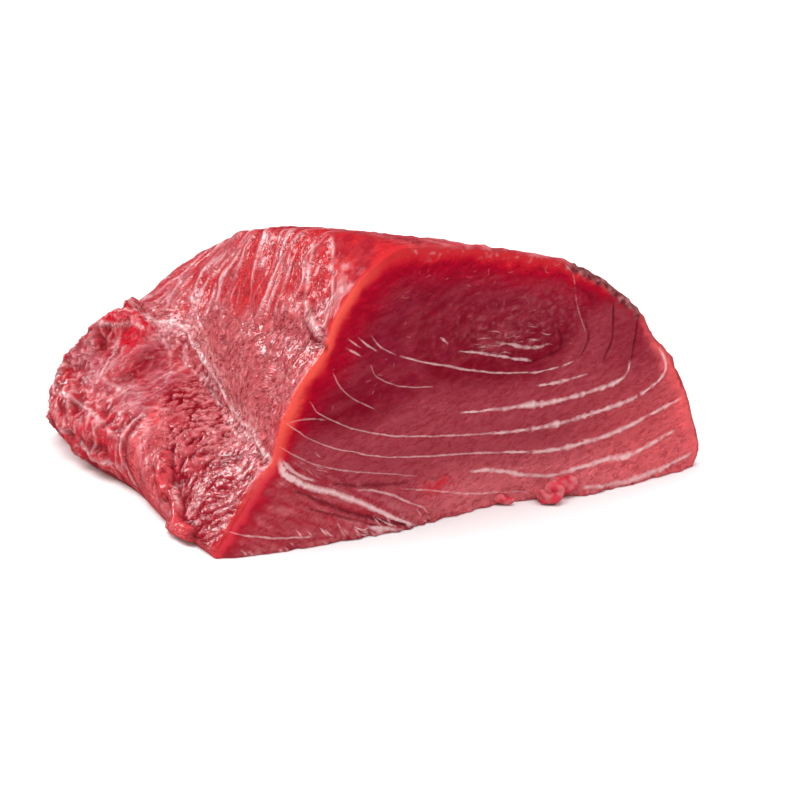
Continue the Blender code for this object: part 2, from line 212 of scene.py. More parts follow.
# How strongly each region shines, how wrinkled it is, and how strongly it is mottled with painted
# shade in the fine valleys and painted glints of highlight.
ZONE_FINISH = {
    "mid": (0.6, 0.9, 0.9), "upper": (0.4, 0.6, 0.6), "flap": (0.7, 0.6, 0.8),
    "flank": (0.4, 0.55, 0.7), "dome": (0.45, 0.35, 0.7), "end": (0.5, 0.5, 0.5),
    "top": (0.25, 0.6, 0.45), "rind": (0.55, 1.0, 0.8), "right": (0.65, 0.3, 0.5),
    "facet": (0.22, 0.12, 0.35),
}

# White lines between the muscle layers on the front cut: name, widths at the start, middle and
# end, whiteness, how broken, and the line's (x, z).
CUT_LINES = {
    "fat": ((2.2, 1.7, 0.8), 1.0, 0.2, ((16.8, 24.6), (18.1, 20.7), (24.6, 16.1), (33, 12.7),
        (40.5, 8.9), (48.8, 4.2), (55, 0.8))),
    "fat_top": ((1.6, 1.0, 0.5), 0.8, 0.6, ((16.6, 25.4), (19.5, 22.2), (22.5, 19.6), (27, 17.2))),
    "a": ((0.2, 0.3, 0.2), 0.5, 0.5, ((16.9, 28.6), (22.9, 24.4), (29.0, 21.2), (38.3, 18.1),
        (47.7, 15.9), (58.9, 13.3))),
    "b": ((0.15, 0.3, 0.45), 0.6, 0.45, ((17.9, 36.3), (21.7, 32.8), (25.2, 30.0), (32.4, 26.1),
        (39.6, 23.5), (47.7, 20.9), (60.5, 18.8), (73.6, 17.4), (86.9, 15.6))),
    "b_right": ((0.5, 1.5, 0.6), 1.0, 0.6, ((86.9, 15.6), (101.0, 13.6), (114.3, 13.9), (128.3, 15.7),
        (138.9, 18.8), (149.6, 22.0))),
    "c": ((0.15, 0.3, 0.5), 0.6, 0.45, ((26.4, 39.8), (28.2, 36.9), (31.6, 34.6), (38.4, 30.8),
        (46.4, 27.8), (57.0, 25.4), (73.5, 23.1), (84.0, 22.0))),
    "c_right": ((0.8, 1.7, 0.7), 1.0, 0.75, ((84.0, 22.0), (93.5, 21.2), (105.4, 21.1), (119.4, 22.5),
        (132.7, 24.8), (140.7, 28.4), (143.8, 31.6), (143.6, 35.0), (141.4, 39.0))),
    "d": ((0.15, 0.2, 0.15), 0.5, 0.5, ((33.2, 47.4), (35.8, 42.5), (39.5, 39.0), (46.2, 35.0))),
    "e": ((0.15, 0.25, 0.2), 0.5, 0.5, ((44.8, 47.8), (46.9, 44.2), (52.5, 41.0), (57.9, 39.6),
        (64.6, 38.7))),
    "t": ((0.2, 0.3, 0.2), 0.55, 0.4, ((45.2, 56.1), (47.6, 52.9), (50.0, 51.3), (52.8, 49.7))),
    "f": ((0.3, 0.5, 0.3), 0.7, 0.45, ((54.2, 49.2), (60.0, 46.9), (66.9, 44.7), (76.6, 41.8),
        (86.5, 39.4), (96.6, 38.0))),
    "f_right": ((0.5, 0.5, 0.4), 0.7, 1.0, ((96.6, 38.0), (101.6, 37.8), (106.7, 38.3), (112.0, 39.4))),
    "g": ((0.3, 1.9, 0.8), 1.0, 0.7, ((74.0, 29.6), (82.0, 29.1), (90.0, 28.6), (103.6, 28.2),
        (113.9, 28.8), (122.5, 29.9), (127.7, 31.2), (130.5, 33.3), (131.1, 36.0))),
    "h": ((0.4, 0.9, 0.4), 0.9, 0.9, ((98.9, 33.7), (104.0, 33.8), (109.0, 34.0), (116.0, 34.9))),
    "i": ((0.7, 1.4, 0.8), 1.0, 0.5, ((76.8, 11.6), (81.5, 11.2), (87.0, 9.8), (93.0, 8.0),
        (100.4, 6.5), (106.0, 6.6))),
    "i_right": ((0.8, 1.7, 0.5), 1.0, 0.65, ((106.0, 6.6), (114.5, 7.8), (122.0, 8.2), (129.0, 8.0),
        (137.0, 9.4), (147.6, 12.4))),
    "j": ((0.3, 0.6, 0.6), 0.8, 0.6, ((73.8, 47.7), (79.6, 46.2), (86.4, 44.4), (92.0, 42.7),
        (97.1, 41.5))),
    "k": ((0.5, 0.9, 0.5), 0.8, 0.8, ((86.0, 48.4), (92.5, 46.4), (97.4, 45.2), (103.4, 45.6))),
    "n": ((0.2, 0.45, 0.3), 0.6, 0.7, ((54.6, 10.3), (61.0, 9.2), (67.1, 7.6), (77.0, 4.9), (87.1, 3.4),
        (95.6, 2.4))),
    "m": ((0.3, 0.6, 0.3), 0.65, 0.6, ((40.0, 12.4), (45.0, 11.6), (50.0, 9.6), (54.1, 7.4),
        (60.0, 4.6))),
    "o": ((0.8, 2.0, 0.9), 0.9, 0.6, ((112.0, 2.4), (119.0, 1.6), (130.0, 1.2), (139.6, 2.2),
        (148.0, 3.2), (153.4, 4.2))),
    "p": ((0.25, 0.4, 0.25), 0.6, 0.6, ((-1.0, 8.1), (4.3, 5.9), (10.9, 4.3), (16.4, 3.4),
        (24.0, 2.8))),
    "q": ((0.2, 0.3, 0.2), 0.3, 0.8, ((107.6, 69.0), (110.4, 65.3), (112.0, 57.6), (113.9, 51.4),
        (115.8, 47.0))),
    "r": ((0.2, 0.4, 0.2), 0.7, 0.2, ((38.1, 56.2), (41.7, 53.4))),
    "s": ((0.2, 0.4, 0.2), 0.7, 0.2, ((41.6, 56.1), (43.9, 53.8), (46.9, 51.8))),
    "u": ((0.2, 0.5, 0.2), 0.7, 0.2, ((38.0, 53.6), (41.9, 51.0))),
    "v": ((0.3, 0.7, 0.3), 0.8, 0.2, ((67.3, 52.6), (69.6, 50.7))),
    "w": ((0.2, 0.3, 0.2), 0.4, 0.5, ((19.6, 35.2), (24.4, 35.4), (31.0, 34.4))),
    "patch": ((0.8, 1.8, 1.0), 1.0, 0.4, ((41.2, 2.6), (44.7, 1.6), (49.6, 0.7))),
}

# Dark lines on the front cut, stated the same way with darkness in whiteness' place.
CUT_DARKS = {
    "gash": ((0.9, 1.5, 1.6), 0.9, 0.4, ((21.0, 15.6), (28.8, 11.0), (38.0, 6.4), (47.0, 3.2),
        (55.5, 0.2))),
    "gash_low": ((0.4, 0.9, 0.6), 0.7, 0.6, ((24.0, 10.0), (31.0, 7.4), (39.0, 4.4), (46.0, 1.8))),
    "gash_mid": ((0.5, 1.2, 0.8), 0.7, 0.5, ((33.0, 15.4), (40.0, 13.6), (48.0, 12.6), (56.0, 12.0))),
    "arc_a": ((0.4, 0.9, 0.5), 0.9, 0.4, ((124.6, 55.0), (124.9, 50.0), (124.4, 44.0), (121.6, 37.8))),
    "arc_b": ((0.4, 0.8, 0.5), 0.8, 0.4, ((133.4, 50.0), (133.0, 46.0), (132.2, 41.0), (131.4, 36.4))),
    "arc_c": ((0.4, 0.8, 0.5), 0.8, 0.4, ((115.2, 51.0), (116.6, 46.6), (115.6, 43.0), (113.6, 40.6))),
    "arc_d": ((0.4, 0.8, 0.5), 0.7, 0.5, ((105.8, 51.0), (107.2, 46.8), (106.4, 43.6), (103.0, 42.4),
        (96.0, 41.0))),
    "torn": ((0.3, 0.9, 0.3), 0.6, 0.8, ((60.6, 10.2), (62.6, 11.8), (65.0, 11.6), (68.3, 12.2),
        (69.9, 10.6), (71.0, 7.8))),
    "nick": ((0.4, 0.9, 0.4), 0.6, 0.2, ((69.4, 21.8), (69.9, 19.6))),
}

# Short white flecks on the front cut: how many, the middle and half size of the box they lie in,
# the longest one's length, their angle and how far it varies in degrees, a seed, and how bold.
# The set round (90, 48), low in the eye, is painted highlights on its wet wrinkles.
FLECKS = (
    (30, (34, 2.2), (30, 2.2), 2.8, -52, 16, 5, 1.9), (10, (46, 1.6), (8, 1.8), 5.0, -22, 12, 6, 1.8),
    (22, (90, 48.0), (13, 3.4), 4.5, -9, 10, 8, 1.0), (26, (82, 56), (34, 12), 0.6, 0, 90, 9, 1.0),
    (22, (88, 69), (28, 4), 1.0, 30, 60, 13, 1.0), (10, (40, 44), (10, 7), 0.6, 0, 90, 14, 1.0),
    (16, (24, 21.5), (7, 3.6), 3.2, -38, 14, 10, 1.0), (22, (110, 6), (40, 5), 1.6, 4, 20, 12, 1.0),
)

# The cuts' meshes: the steps of the grids, of the points along the lines and of the lower edges,
# how wide a line's soft edge is, the thinnest line, and the smallest gap between two points.
CUT_STEP = 0.74
BACK_STEP = 1.3
UNDER_STEP = 5.0
LINE_STEP = 0.55
LINE_EDGE = 0.17
LINE_THINNEST = 0.12
SPOT_GAP = 0.15
FOOT_STEP = 1.0
BACK_FOOT_STEPS = 40
BACK_LINES = 8

# The cut's fibres: how far they lean up to the right in degrees, how much shorter and wider than
# life the noise is read along and across them, and where it is read.
FIBRE_LEAN = 18.0
FIBRE_ALONG = 0.5
FIBRE_ACROSS = 1.4
CUT_FLOW_START = 500.0

# Where the meat under the fat line starts, and the top of the painted sheen, the white floor's
# reflection that makes the front cut's lower part paler, as (x, z).
FAT_EDGE = ((17, 22), (24, 15.5), (33, 11.5), (45, 6.5), (56, 0.5))
SHEEN_EDGE = ((10, 31), (20, 33), (30, 32), (45, 34), (60, 40), (80, 38), (100, 38), (108, 44),
    (116, 54), (124, 60), (136, 64))

# Width of the painted glow inside the front cut's rim, a bright band for light shining through
# the thin edge, as (place on the chain, width).
GLOW_BAND = ((0.0, 1.4), (1.0, 2.3), (1.9, 2.2), (2.1, 2.7), (2.6, 2.8), (3.0, 2.3), (3.12, 2.0),
    (3.5, 2.4), (3.9, 2.9), (4.3, 3.4), (5.0, 3.6), (5.5, 2.0), (6.0, 1.2), (6.4, 2.2), (7.0, 4.4),
    (7.6, 6.4), (8.4, 5.4), (9.0, 2.6))

# How orange that painted glow is, as (place on the chain, share); elsewhere it is red.
GLOW_ORANGE = ((0.0, 0.0), (0.9, 0.0), (1.6, 0.15), (2.0, 0.7), (2.4, 1.0), (3.45, 0.9), (3.65, 0.4),
    (3.85, 0.05), (5.0, 0.0), (6.2, 0.1), (6.7, 0.4), (7.3, 0.3), (7.9, 0.1), (9.0, 0.0))

# Curls of meat at the lower edge of the front cut: name, then (x, y, z, radius).
CURLS = {
    "front_curl": ((98.4, -3.0, 1.6, 1.4), (98.3, -6.6, 2.0, 2.0), (100.4, -8.0, 2.1, 2.1),
        (102.0, -8.0, 3.8, 1.9), (100.6, -7.8, 5.3, 1.6), (98.8, -7.6, 4.6, 1.3),
        (99.4, -8.6, 3.7, 0.9)),
    "front_lobe": ((103.4, -1.0, 2.6, 2.2), (105.4, -4.0, 3.2, 2.6), (108.2, -4.4, 3.8, 2.5),
        (110.6, -2.8, 4.6, 1.7)),
    "front_tag": ((85.0, 0.6, 1.4, 0.9), (86.6, -1.2, 1.6, 1.3), (88.4, -2.6, 1.0, 1.1),
        (90.0, -3.4, 1.8, 0.7)),
}
CURL_SIDES = 20
CURL_STEP = 0.5
CURL_TIP = 0.02
CURL_LOWEST = 0.05

# Colours of the meat as they look in soft light, and of the light painted on it, from 0 to 255.
ROSE = (196, 74, 82)
ROSE_PALE = (216, 122, 126)
ROSE_DEEP = (184, 52, 62)
CRIMSON = (162, 24, 42)
CRIMSON_DEEP = (128, 6, 24)
SCARLET = (206, 44, 50)
CORAL = (226, 76, 82)
# Painted glow of light shining through the front cut's thin edge, on its left and top.
ORANGE_GLOW = (252, 94, 80)
RIM_RED = (214, 22, 44)
CURL_RED = (232, 66, 84)
# Painted glow of light shining through the front cut's thin edge, on its right.
GLOW_PINK = (250, 104, 110)
CUT_RED = (172, 4, 38)
CUT_WINE = (138, 26, 50)
CUT_DARK = (124, 8, 32)
CUT_ROSE = (168, 64, 76)
# Painted sheen low on the front cut, the white floor's reflection in it.
CUT_SHEEN = (224, 110, 118)
CUT_FOOT = (182, 70, 80)
FAT = (246, 204, 205)
MEMBRANE = (228, 152, 156)
MEMBRANE_GREY = (190, 104, 114)
SKIN_BROWN = (146, 84, 84)
DARK_LINE = (92, 8, 24)

# Share of those colours that the surface keeps, on the skin side and on the cuts.
SKIN_SHARE = 0.84
CUT_SHARE = 0.94

# The material: the shader's values, and the noise that mottles it with painted shade and glints.
MEAT_LOOK = {
    "Metallic": 0.0, "IOR": 1.38, "Specular IOR Level": 0.02, "Subsurface Weight": 0.2,
    "Subsurface Radius": (1.0, 0.2, 0.14), "Subsurface Scale": 0.0018, "Coat Roughness": 0.14,
    "Coat IOR": 1.45,
}
MEAT_NOISE = {"Scale": 0.62, "Detail": 2.5, "Roughness": 0.55, "Distortion": 0.6}

# The floor, in metres: its size, its level just under the block, and its shader's values.
FLOOR_SIZE = 8.0
FLOOR_LEVEL = -0.0002
FLOOR_LOOK = {"Base Color": (0.97, 0.97, 0.97, 1.0), "Roughness": 0.9, "Specular IOR Level": 0.0}

# Soft boxes: name, where it stands and what it points at in metres, its size and its power.
LIGHTS = {
    "back_left": ((-0.5, 1.0, 0.5), (0.0, 0.0, 0.02), 0.4, 6.5),
    "front_right": ((0.5, -0.75, 0.85), (0.0, -0.05, 0.03), 0.3, 2.6),
    "left": ((-0.95, -0.35, 0.5), (0.0, 0.0, 0.03), 0.4, 1.2),
}
ROOM_LIGHT = 0.3

# An even light from above: where it is, the way it shines, its strength and how wide it looks.
CEILING = ((0.0, 0.0, 1.2), (0.12, -0.1, -1.0), 2.9, 60)


def row_frame(points):
    """Points in metres in the part's own frame."""
    return (np.asarray(points, float) - (*MIDDLE, 0.0)) * MM


def linear(colour):
    """Linear colour of an sRGB colour given from 0 to 255."""
    share = np.asarray(colour, float) / 255.0
    return np.where(share <= 0.04045, share / 12.92, ((share + 0.055) / 1.055) ** 2.4)


def smoothstep(low, high, value):
    """0 below low, 1 above high and a smooth change between them."""
    t = np.clip((np.asarray(value, float) - low) / (high - low), 0.0, 1.0)
    return t * t * (3.0 - 2.0 * t)


def fall(low, high, value):
    """1 below low, 0 above high and a smooth change between them."""
    return 1 - smoothstep(low, high, value)


def zone(value, low, high, soft, wander=0.0):
    """1 between low and high, with soft ends that wander with the given field."""
    moved, half = value + wander, soft / 2
    return smoothstep(low - half, low + half, moved) * fall(high - half, high + half, moved)


def above(field, low, high):
    """How far each value of a field has risen, from 0 to 1, between two of the field's quantiles."""
    start, end = np.quantile(field, (low, high))
    return smoothstep(start, end, field)


def under(field, low, high):
    """How far each value of a field has fallen, from 0 to 1, between two of its quantiles."""
    return 1 - above(field, low, high)


def bump(value):
    """1 where the value is 0, falling off smoothly on both sides of it."""
    return np.exp(-(value ** 2))


def blob(x, z, middle, size):
    """1 at a middle, falling off smoothly round it in an oval of the given half size."""
    return np.exp(-(((x - middle[0]) / size[0]) ** 2 + ((z - middle[1]) / size[1]) ** 2))


def read(table, place):
    """Value at each place, read from a table of (place, value)."""
    return np.interp(place, *zip(*table))


def columns(*values):
    """Arrays and single numbers side by side, as the columns of one array."""
    return np.column_stack(np.broadcast_arrays(*values))


def blend(a, b, share):
    """Mix of two colours, or rows of colours, by a share for each row."""
    return a + (b - a) * np.asarray(share)[..., None]


def paint(base, *steps):
    """One colour, or rows of linear colour, with (colour, share at each point) laid over it."""
    rows = linear(base) if isinstance(base, tuple) else base
    for over, share in steps:
        rows = blend(rows, linear(over), share)
    return rows


NOISE_RNG = np.random.default_rng(11)
SHUFFLE = np.tile(NOISE_RNG.permutation(256), 3)
SLOPES = NOISE_RNG.normal(size=(256, 3))
SLOPES /= np.linalg.norm(SLOPES, axis=1)[:, None]
SEED_STEP = 17.31


def noise(points, size, seed=0):
    """Smooth random field from about -1 to 1, with lumps of the given size, at each point."""
    place = np.asarray(points, float) / size + seed * SEED_STEP
    cell = np.floor(place).astype(int)
    part = place - cell
    ease = part ** 3 * (part * (part * 6 - 15) + 10)
    total = 0.0
    for corner in range(8):
        step = np.array((corner & 1, corner >> 1 & 1, corner >> 2 & 1))
        key = (cell + step) & 255
        key = SHUFFLE[SHUFFLE[SHUFFLE[key[..., 0]] + key[..., 1]] + key[..., 2]]
        lean = (SLOPES[key] * (part - step)).sum(-1)
        total = total + lean * np.prod(np.where(step, ease, 1 - ease), axis=-1)
    return total * 1.6


def layered(points, size, octaves=4, seed=0):
    """Noise with finer and weaker noise on top."""
    return sum(noise(points, size / 2 ** k, seed + k) * 0.5 ** k for k in range(octaves))


def stretched(lengths, octaves, seed):
    """Layered noise read at places that are already divided by the size of its lumps."""
    return layered(columns(*lengths), 1.0, octaves, seed)


def creased(points, size, octaves=3, seed=0):
    """Noise with sharp crests from 0 to about 1, like wrinkles."""
    return sum((1 - 2.2 * np.abs(noise(points, size / 2 ** k, seed + k))) * 0.5 ** k
               for k in range(octaves)) / 1.5


def plated(points, size, octaves=2, seed=0, valley=0.34):
    """Noise with broad plates between narrow valleys, from 0 to 1."""
    weights = [0.55 ** k for k in range(octaves)]
    return sum(smoothstep(0.0, valley, np.abs(noise(points, size / 2 ** k, seed + k))) * weight
               for k, weight in enumerate(weights)) / sum(weights)


def along(values, y):
    """Cubic through rows of values at the stations, read at each distance y."""
    places = np.array(STATIONS)
    rows = np.array(values, float).reshape(len(places), -1)
    slopes = np.gradient(rows, places, axis=0)
    i = np.clip(np.searchsorted(places, y) - 1, 0, len(places) - 2)
    width = (places[i + 1] - places[i])[:, None]
    t = (y - places[i])[:, None] / width
    near = (1 + 2 * t) * (1 - t) ** 2 * rows[i] + t * (1 - t) ** 2 * width * slopes[i]
    far = t * t * (3 - 2 * t) * rows[i + 1] - t * t * (1 - t) * width * slopes[i + 1]
    return near + far


def skin_points(y, place):
    """Points of the skin side at distances and places on the chain, in arrays of one length."""
    y = np.asarray(y, float)
    held = np.clip(y, 0.0, LENGTH)
    number = np.clip(np.asarray(place).astype(int), 0, ARCS - 1)
    corners = np.stack([along(corner[1], held) for corner in CHAIN], 1)
    bulges = np.stack([along(corner[2], held)[:, 0] for corner in CHAIN], 1)
    pick = np.arange(len(y))
    start = corners[pick, number]
    chord = corners[pick, number + 1] - start
    size = np.linalg.norm(chord, axis=1)
    out = columns(-chord[:, 1], chord[:, 0]) / size[:, None]
    t = (place - number)[:, None]
    x, z = (start + chord * t + out * bulges[pick, number][:, None] * 4 * t * (1 - t)).T
    return columns(x, y + held / LENGTH * BACK_SLANT * x, z)


def chain_places():
    """Places on the chain of the mesh's columns, from the left foot over the top to the right."""
    places = []
    for number in range(ARCS):
        gaps = np.array(CHAIN[number + 1][1]) - np.array(CHAIN[number][1])
        steps = max(4, round(float(np.linalg.norm(gaps, axis=1).mean()) / CHAIN[number][3]))
        places.extend(number + k / steps for k in range(steps))
    return np.array(places + [float(ARCS)])


def distance_to_spots(points, spots):
    """Distance from each point to a line through given points, and how far along it lies."""
    best = np.full(len(points), np.inf)
    where = np.zeros(len(points))
    passed = 0.0
    for a, b in zip(spots[:-1], spots[1:]):
        step = b - a
        size = float(np.linalg.norm(step))
        t = np.clip((points - a) @ step / size ** 2, 0, 1)
        gap = np.linalg.norm(points - a - t[:, None] * step, axis=1)
        nearer = gap < best
        best[nearer] = gap[nearer]
        where[nearer] = passed + t[nearer] * size
        passed += size
    return best, where


def distance_to_line(points, line):
    """Distance from each point to a line through places on the skin."""
    return distance_to_spots(points, skin_points(*np.array(line, float).T))[0]


def near_line(points, line, width):
    """1 on a line through places on the skin, falling off smoothly within about the width."""
    return bump(distance_to_line(points, line) / width)


def smooth_line(points, step):
    """Points at even steps on a smooth curve through the given ones."""
    rows = np.array(points, float)
    ends = np.vstack((2 * rows[0] - rows[1], rows, 2 * rows[-1] - rows[-2]))
    fine = []
    for i in range(1, len(ends) - 2):
        p0, p1, p2, p3 = ends[i - 1:i + 3]
        for t in np.linspace(0, 1, CURVE_PARTS, endpoint=False):
            fine.append(0.5 * (2 * p1 + (p2 - p0) * t + (2 * p0 - 5 * p1 + 4 * p2 - p3) * t * t
                               + (3 * p1 - p0 - 3 * p2 + p3) * t ** 3))
    fine = np.array(fine + [rows[-1]])
    reach = np.concatenate(((0.0,), np.cumsum(np.linalg.norm(np.diff(fine, axis=0), axis=1))))
    marks = np.linspace(0, reach[-1], max(2, int(round(reach[-1] / step)) + 1))
    return np.column_stack([np.interp(marks, reach, column) for column in fine.T])


def foot_spread(x, z):
    """How far the front cut's lower edge spreads forward at x, fading out with the height z."""
    return read(FOOT_SPREAD, x) * bump(z / SPREAD_TOP)


def quarter(number, count):
    """Sine and cosine of a part of a quarter turn."""
    angle = math.pi / 2 * (number / count)
    return math.sin(angle), math.cos(angle)


class Skin:
    """The shell round the block: a grid of points with the distance and chain place of each."""

    def __init__(self):
        self.places = chain_places()
        rounding = read(FRONT_ROUND, self.places)
        rows = []
        for k in range(FRONT_ROUND_ROWS):
            sine, cosine = quarter(k, FRONT_ROUND_ROWS)
            rows.append((rounding * (1 - cosine), rounding * (1 - sine)))
        count = round((LENGTH - FRONT_START) / ROW_STEP)
        rows += [(y, 0.0) for y in np.linspace(FRONT_START, LENGTH, count)]
        for k in range(1, BACK_ROUND_ROWS + 1):
            sine, cosine = quarter(k, BACK_ROUND_ROWS)
            rows.append((LENGTH + BACK_ROUND * sine, BACK_ROUND * (1 - cosine)))
        self.shape = (len(rows), len(self.places))
        self.p = np.tile(self.places, len(rows))
        self.y, inset = (np.concatenate([np.broadcast_to(row[i], len(self.places)) for row in rows])
                         for i in (0, 1))
        self.shape_plain(inset)

    def shape_plain(self, inset):
        """Find the points of the plain form, with its corners and the edges of both ends rounded."""
        spots = skin_points(self.y, self.p).reshape(*self.shape, 3)
        for _ in range(CORNER_ROUNDING):
            middle = (spots[:, :-2] + spots[:, 2:]) / 2
            hold = smoothstep(0.5, 4.0, spots[:, 1:-1, 2])[..., None]
            spots[:, 1:-1] += (middle - spots[:, 1:-1]) * 0.5 * hold
        step = np.gradient(spots[..., [0, 2]], axis=1)
        out = np.dstack((-step[..., 1], np.zeros(self.shape), step[..., 0]))
        out /= np.maximum(np.linalg.norm(out, axis=2), TINY)[..., None]
        self.outward = out.reshape(-1, 3)
        self.plain = spots.reshape(-1, 3) - self.outward * inset[:, None]
        self.above_foot = np.clip(self.plain[:, 2] / FOOT_HOLD, 0, 1)


def moved_by_relief(skin):
    """The shell with its grooves, ridges and rolls. Sets masks of the rolls and of painted shade at
    their edges.
    """
    plain = skin.plain
    shift = np.zeros(len(plain))
    for table, way in ((RIDGES, 1), (GROOVES, -1)):
        for line, width, height in table.values():
            shift += way * height * near_line(plain, line, width)
    skin.rolls = np.zeros(len(plain))
    skin.roll_edge = np.zeros(len(plain))
    lumps = layered(plain, 3.4, 2, 17)
    for line, height, width in ROLLS.values():
        gap = distance_to_line(plain, line) / (width * 1.25) * (1 + 0.2 * lumps)
        roll = height * (1 + 0.1 * lumps) * np.sqrt(np.clip(1 - gap ** 2, 0, 1))
        skin.rolls = np.maximum(skin.rolls, roll / height)
        skin.roll_edge = np.maximum(skin.roll_edge, bump((gap - 1.15) / 0.3))
        # The higher of the two, and a quarter of the lower one on top of it.
        shift = np.maximum(shift, roll) + 0.25 * np.minimum(shift, roll)
    ragged = 0.6 * creased(plain, 2.6, 2, 18) + 0.5 * noise(plain, 5.0, 20) - 0.2
    shift += ragged * bump(skin.y / 6.0) * smoothstep(4.9, 5.3, skin.p)
    uneven = 0.3 * noise(plain, 5.0, 23) + 0.14 * noise(plain, 1.9, 24)
    shift += uneven * bump(skin.y / 3.0) * zone(skin.p, 0.8, 5.1, 0.4)
    return plain + skin.outward * (shift * skin.above_foot)[:, None]


def normals_of(spots, shape):
    """Outward unit normals of the shell's grid."""
    grid = spots.reshape(*shape, 3)
    normal = np.cross(np.gradient(grid, axis=1), np.gradient(grid, axis=0))
    normal /= np.maximum(np.linalg.norm(normal, axis=2), TINY)[..., None]
    return normal.reshape(-1, 3)


def skin_zones(skin):
    """Named masks of the skin side's regions, each from 0 to 1, for every point of the shell."""
    y, p = skin.y, skin.p
    wander = layered(skin.plain, 16, 3, 5)
    fine = layered(skin.plain, 5, 3, 9)
    facet = zone(p, 3.1, 4.12, 0.08) * fall(-1.5, 1.0, y - read(FACET_EDGE, p) + fine * 3.5)
    upper = smoothstep(-0.14, 0.22, p - read(UPPER_LOW, y) + wander * 0.25)
    upper = upper * fall(4.0, 4.3, p) * (1 - facet)
    over_crease = smoothstep(-0.03, 0.05, p - read(CREASE_PLACE, y))
    front = fall(-2.0, 2.0, y - read(FOLD_AT, p) + fine * 1.5)
    flap = smoothstep(-0.06, 0.1, p - read(FLAP_LOW, y) + wander * 0.1)
    dome = smoothstep(-0.06, 0.08, p - read(DOME_LOW, y) + fine * 0.05)
    torn = p + (0.3 * wander + 0.16 * fine) * smoothstep(2, 20, y)
    rind_low = smoothstep(-0.06, 0.1, torn - read(RIND_LOW, y))
    rind_high = smoothstep(-0.06, 0.08, torn - read(RIND_HIGH, y))
    near, far = (1 - over_crease) * front, (1 - over_crease) * (1 - front)
    return {
        "mid": over_crease * (1 - upper) * (1 - facet) * fall(3.9, 4.1, p), "upper": upper,
        "flap": near * flap, "flank": near * (1 - flap), "dome": far * dome, "end": far * (1 - dome),
        "top": smoothstep(4.0, 4.16, p + wander * 0.04) * (1 - rind_low),
        "rind": rind_low * (1 - rind_high), "right": rind_low * rind_high, "facet": facet}


def skin_flow(skin):
    """Places across and along the wrinkles of the skin side, in millimetres."""
    high = read(STREAK_LEAN, skin.y)
    turn = np.where(skin.p > 3.1, (skin.p - 4.0) * high, -0.9 * high + (3.1 - skin.p) * 13.0)
    sway = layered(skin.plain, 18, 2, 57) * 4
    return skin.y - turn + sway, skin.p * ARC_SIZE


def strand_masks(skin):
    """How much membrane lies on each point of the shell, and how high its strands stand."""
    white, lift = np.zeros(len(skin.y)), np.zeros(len(skin.y))
    for number, (line, width, whiteness, height, broken) in enumerate(STRANDS.values()):
        places = smooth_line(np.array(line, float) * (1.0, ARC_SIZE), STRAND_STEP) / (1.0, ARC_SIZE)
        spots = skin_points(*places.T)
        middle = spots.mean(0)
        reach = np.linalg.norm(spots - middle, axis=1).max() + STRAND_REACH
        near = np.linalg.norm(skin.plain - middle, axis=1) < reach
        picked = skin.plain[near]
        swayed = picked + columns(*(noise(picked, 7, number + 31 + k) for k in range(3))) * 0.9
        gap, where = distance_to_spots(swayed, spots)
        total = max(where.max(), 1.0)
        mark = columns(where / 3.2, number * 3.7, 0.0)
        strength = 1 - broken * (0.5 + 0.9 * layered(mark, 1.0, 2, 71))
        ends = smoothstep(-0.5, 3.0, where) * fall(total - 3.0, total + 0.5, where)
        strength = np.clip(strength, 0, 1) * (0.35 + 0.65 * ends)
        spread = width * (0.75 + 0.5 * noise(mark, 1.7, 83))
        mask = bump(gap / np.maximum(spread, 0.5)) * strength
        white[near] = np.maximum(white[near], mask * whiteness)
        lift[near] = np.maximum(lift[near], mask * height)
    return white, lift


def skin_fields(skin):
    """Named fields of the small lumps, wrinkles, streaks and flakes of the skin side."""
    plain, y, p = skin.plain, skin.y, skin.p
    across, down = skin_flow(skin)

    def sway(size, seed):
        """How far a field is shifted at each point, the same in all three directions."""
        return layered(plain, size, 2, seed)[:, None]

    long_down = np.interp(y, (0, 14, 34), (11.0, 10.0, 7.2))
    lean = (p - 4.0) * read(STREAK_LEAN, y)
    slow = layered(plain, 22, 2, 91) * 7
    wavy = sway(6, 21)
    return {
        "body": layered(plain, 14, 3, 3) * 0.55,
        "wrinkle": creased(plain + sway(6, 14) * 1.6, 3.6, 3, 15),
        "flap": plated(columns(across / 4.2, down / long_down, 0.0) + wavy * 0.34, 1.0, 3, 22, 0.22),
        "plates": plated(columns(across / 2.6, down / 4.6, 0.0) + wavy * 0.25, 1.0, 2, 27),
        "crinkle": creased(plain * (1.0, 0.55, 1.0) + sway(3, 25) * 0.8, 2.1, 2, 26),
        "streaks": stretched(((y - lean + slow) / 2.6, p * ARC_SIZE / 22, 0.0), 2, 41),
        "blocks": creased(plain + sway(5, 61) * 1.5, 6.5, 2, 62),
        "fibres": layered((plain + 4.0 * sway(26, 65)) / (3.4, 26.0, 3.4), 1.0, 2, 66),
        "rough": creased(plain * (1.0, 0.5, 1.0), 3.4, 3, 68),
        "torn": creased(plain, 3.4, 2, 70)}


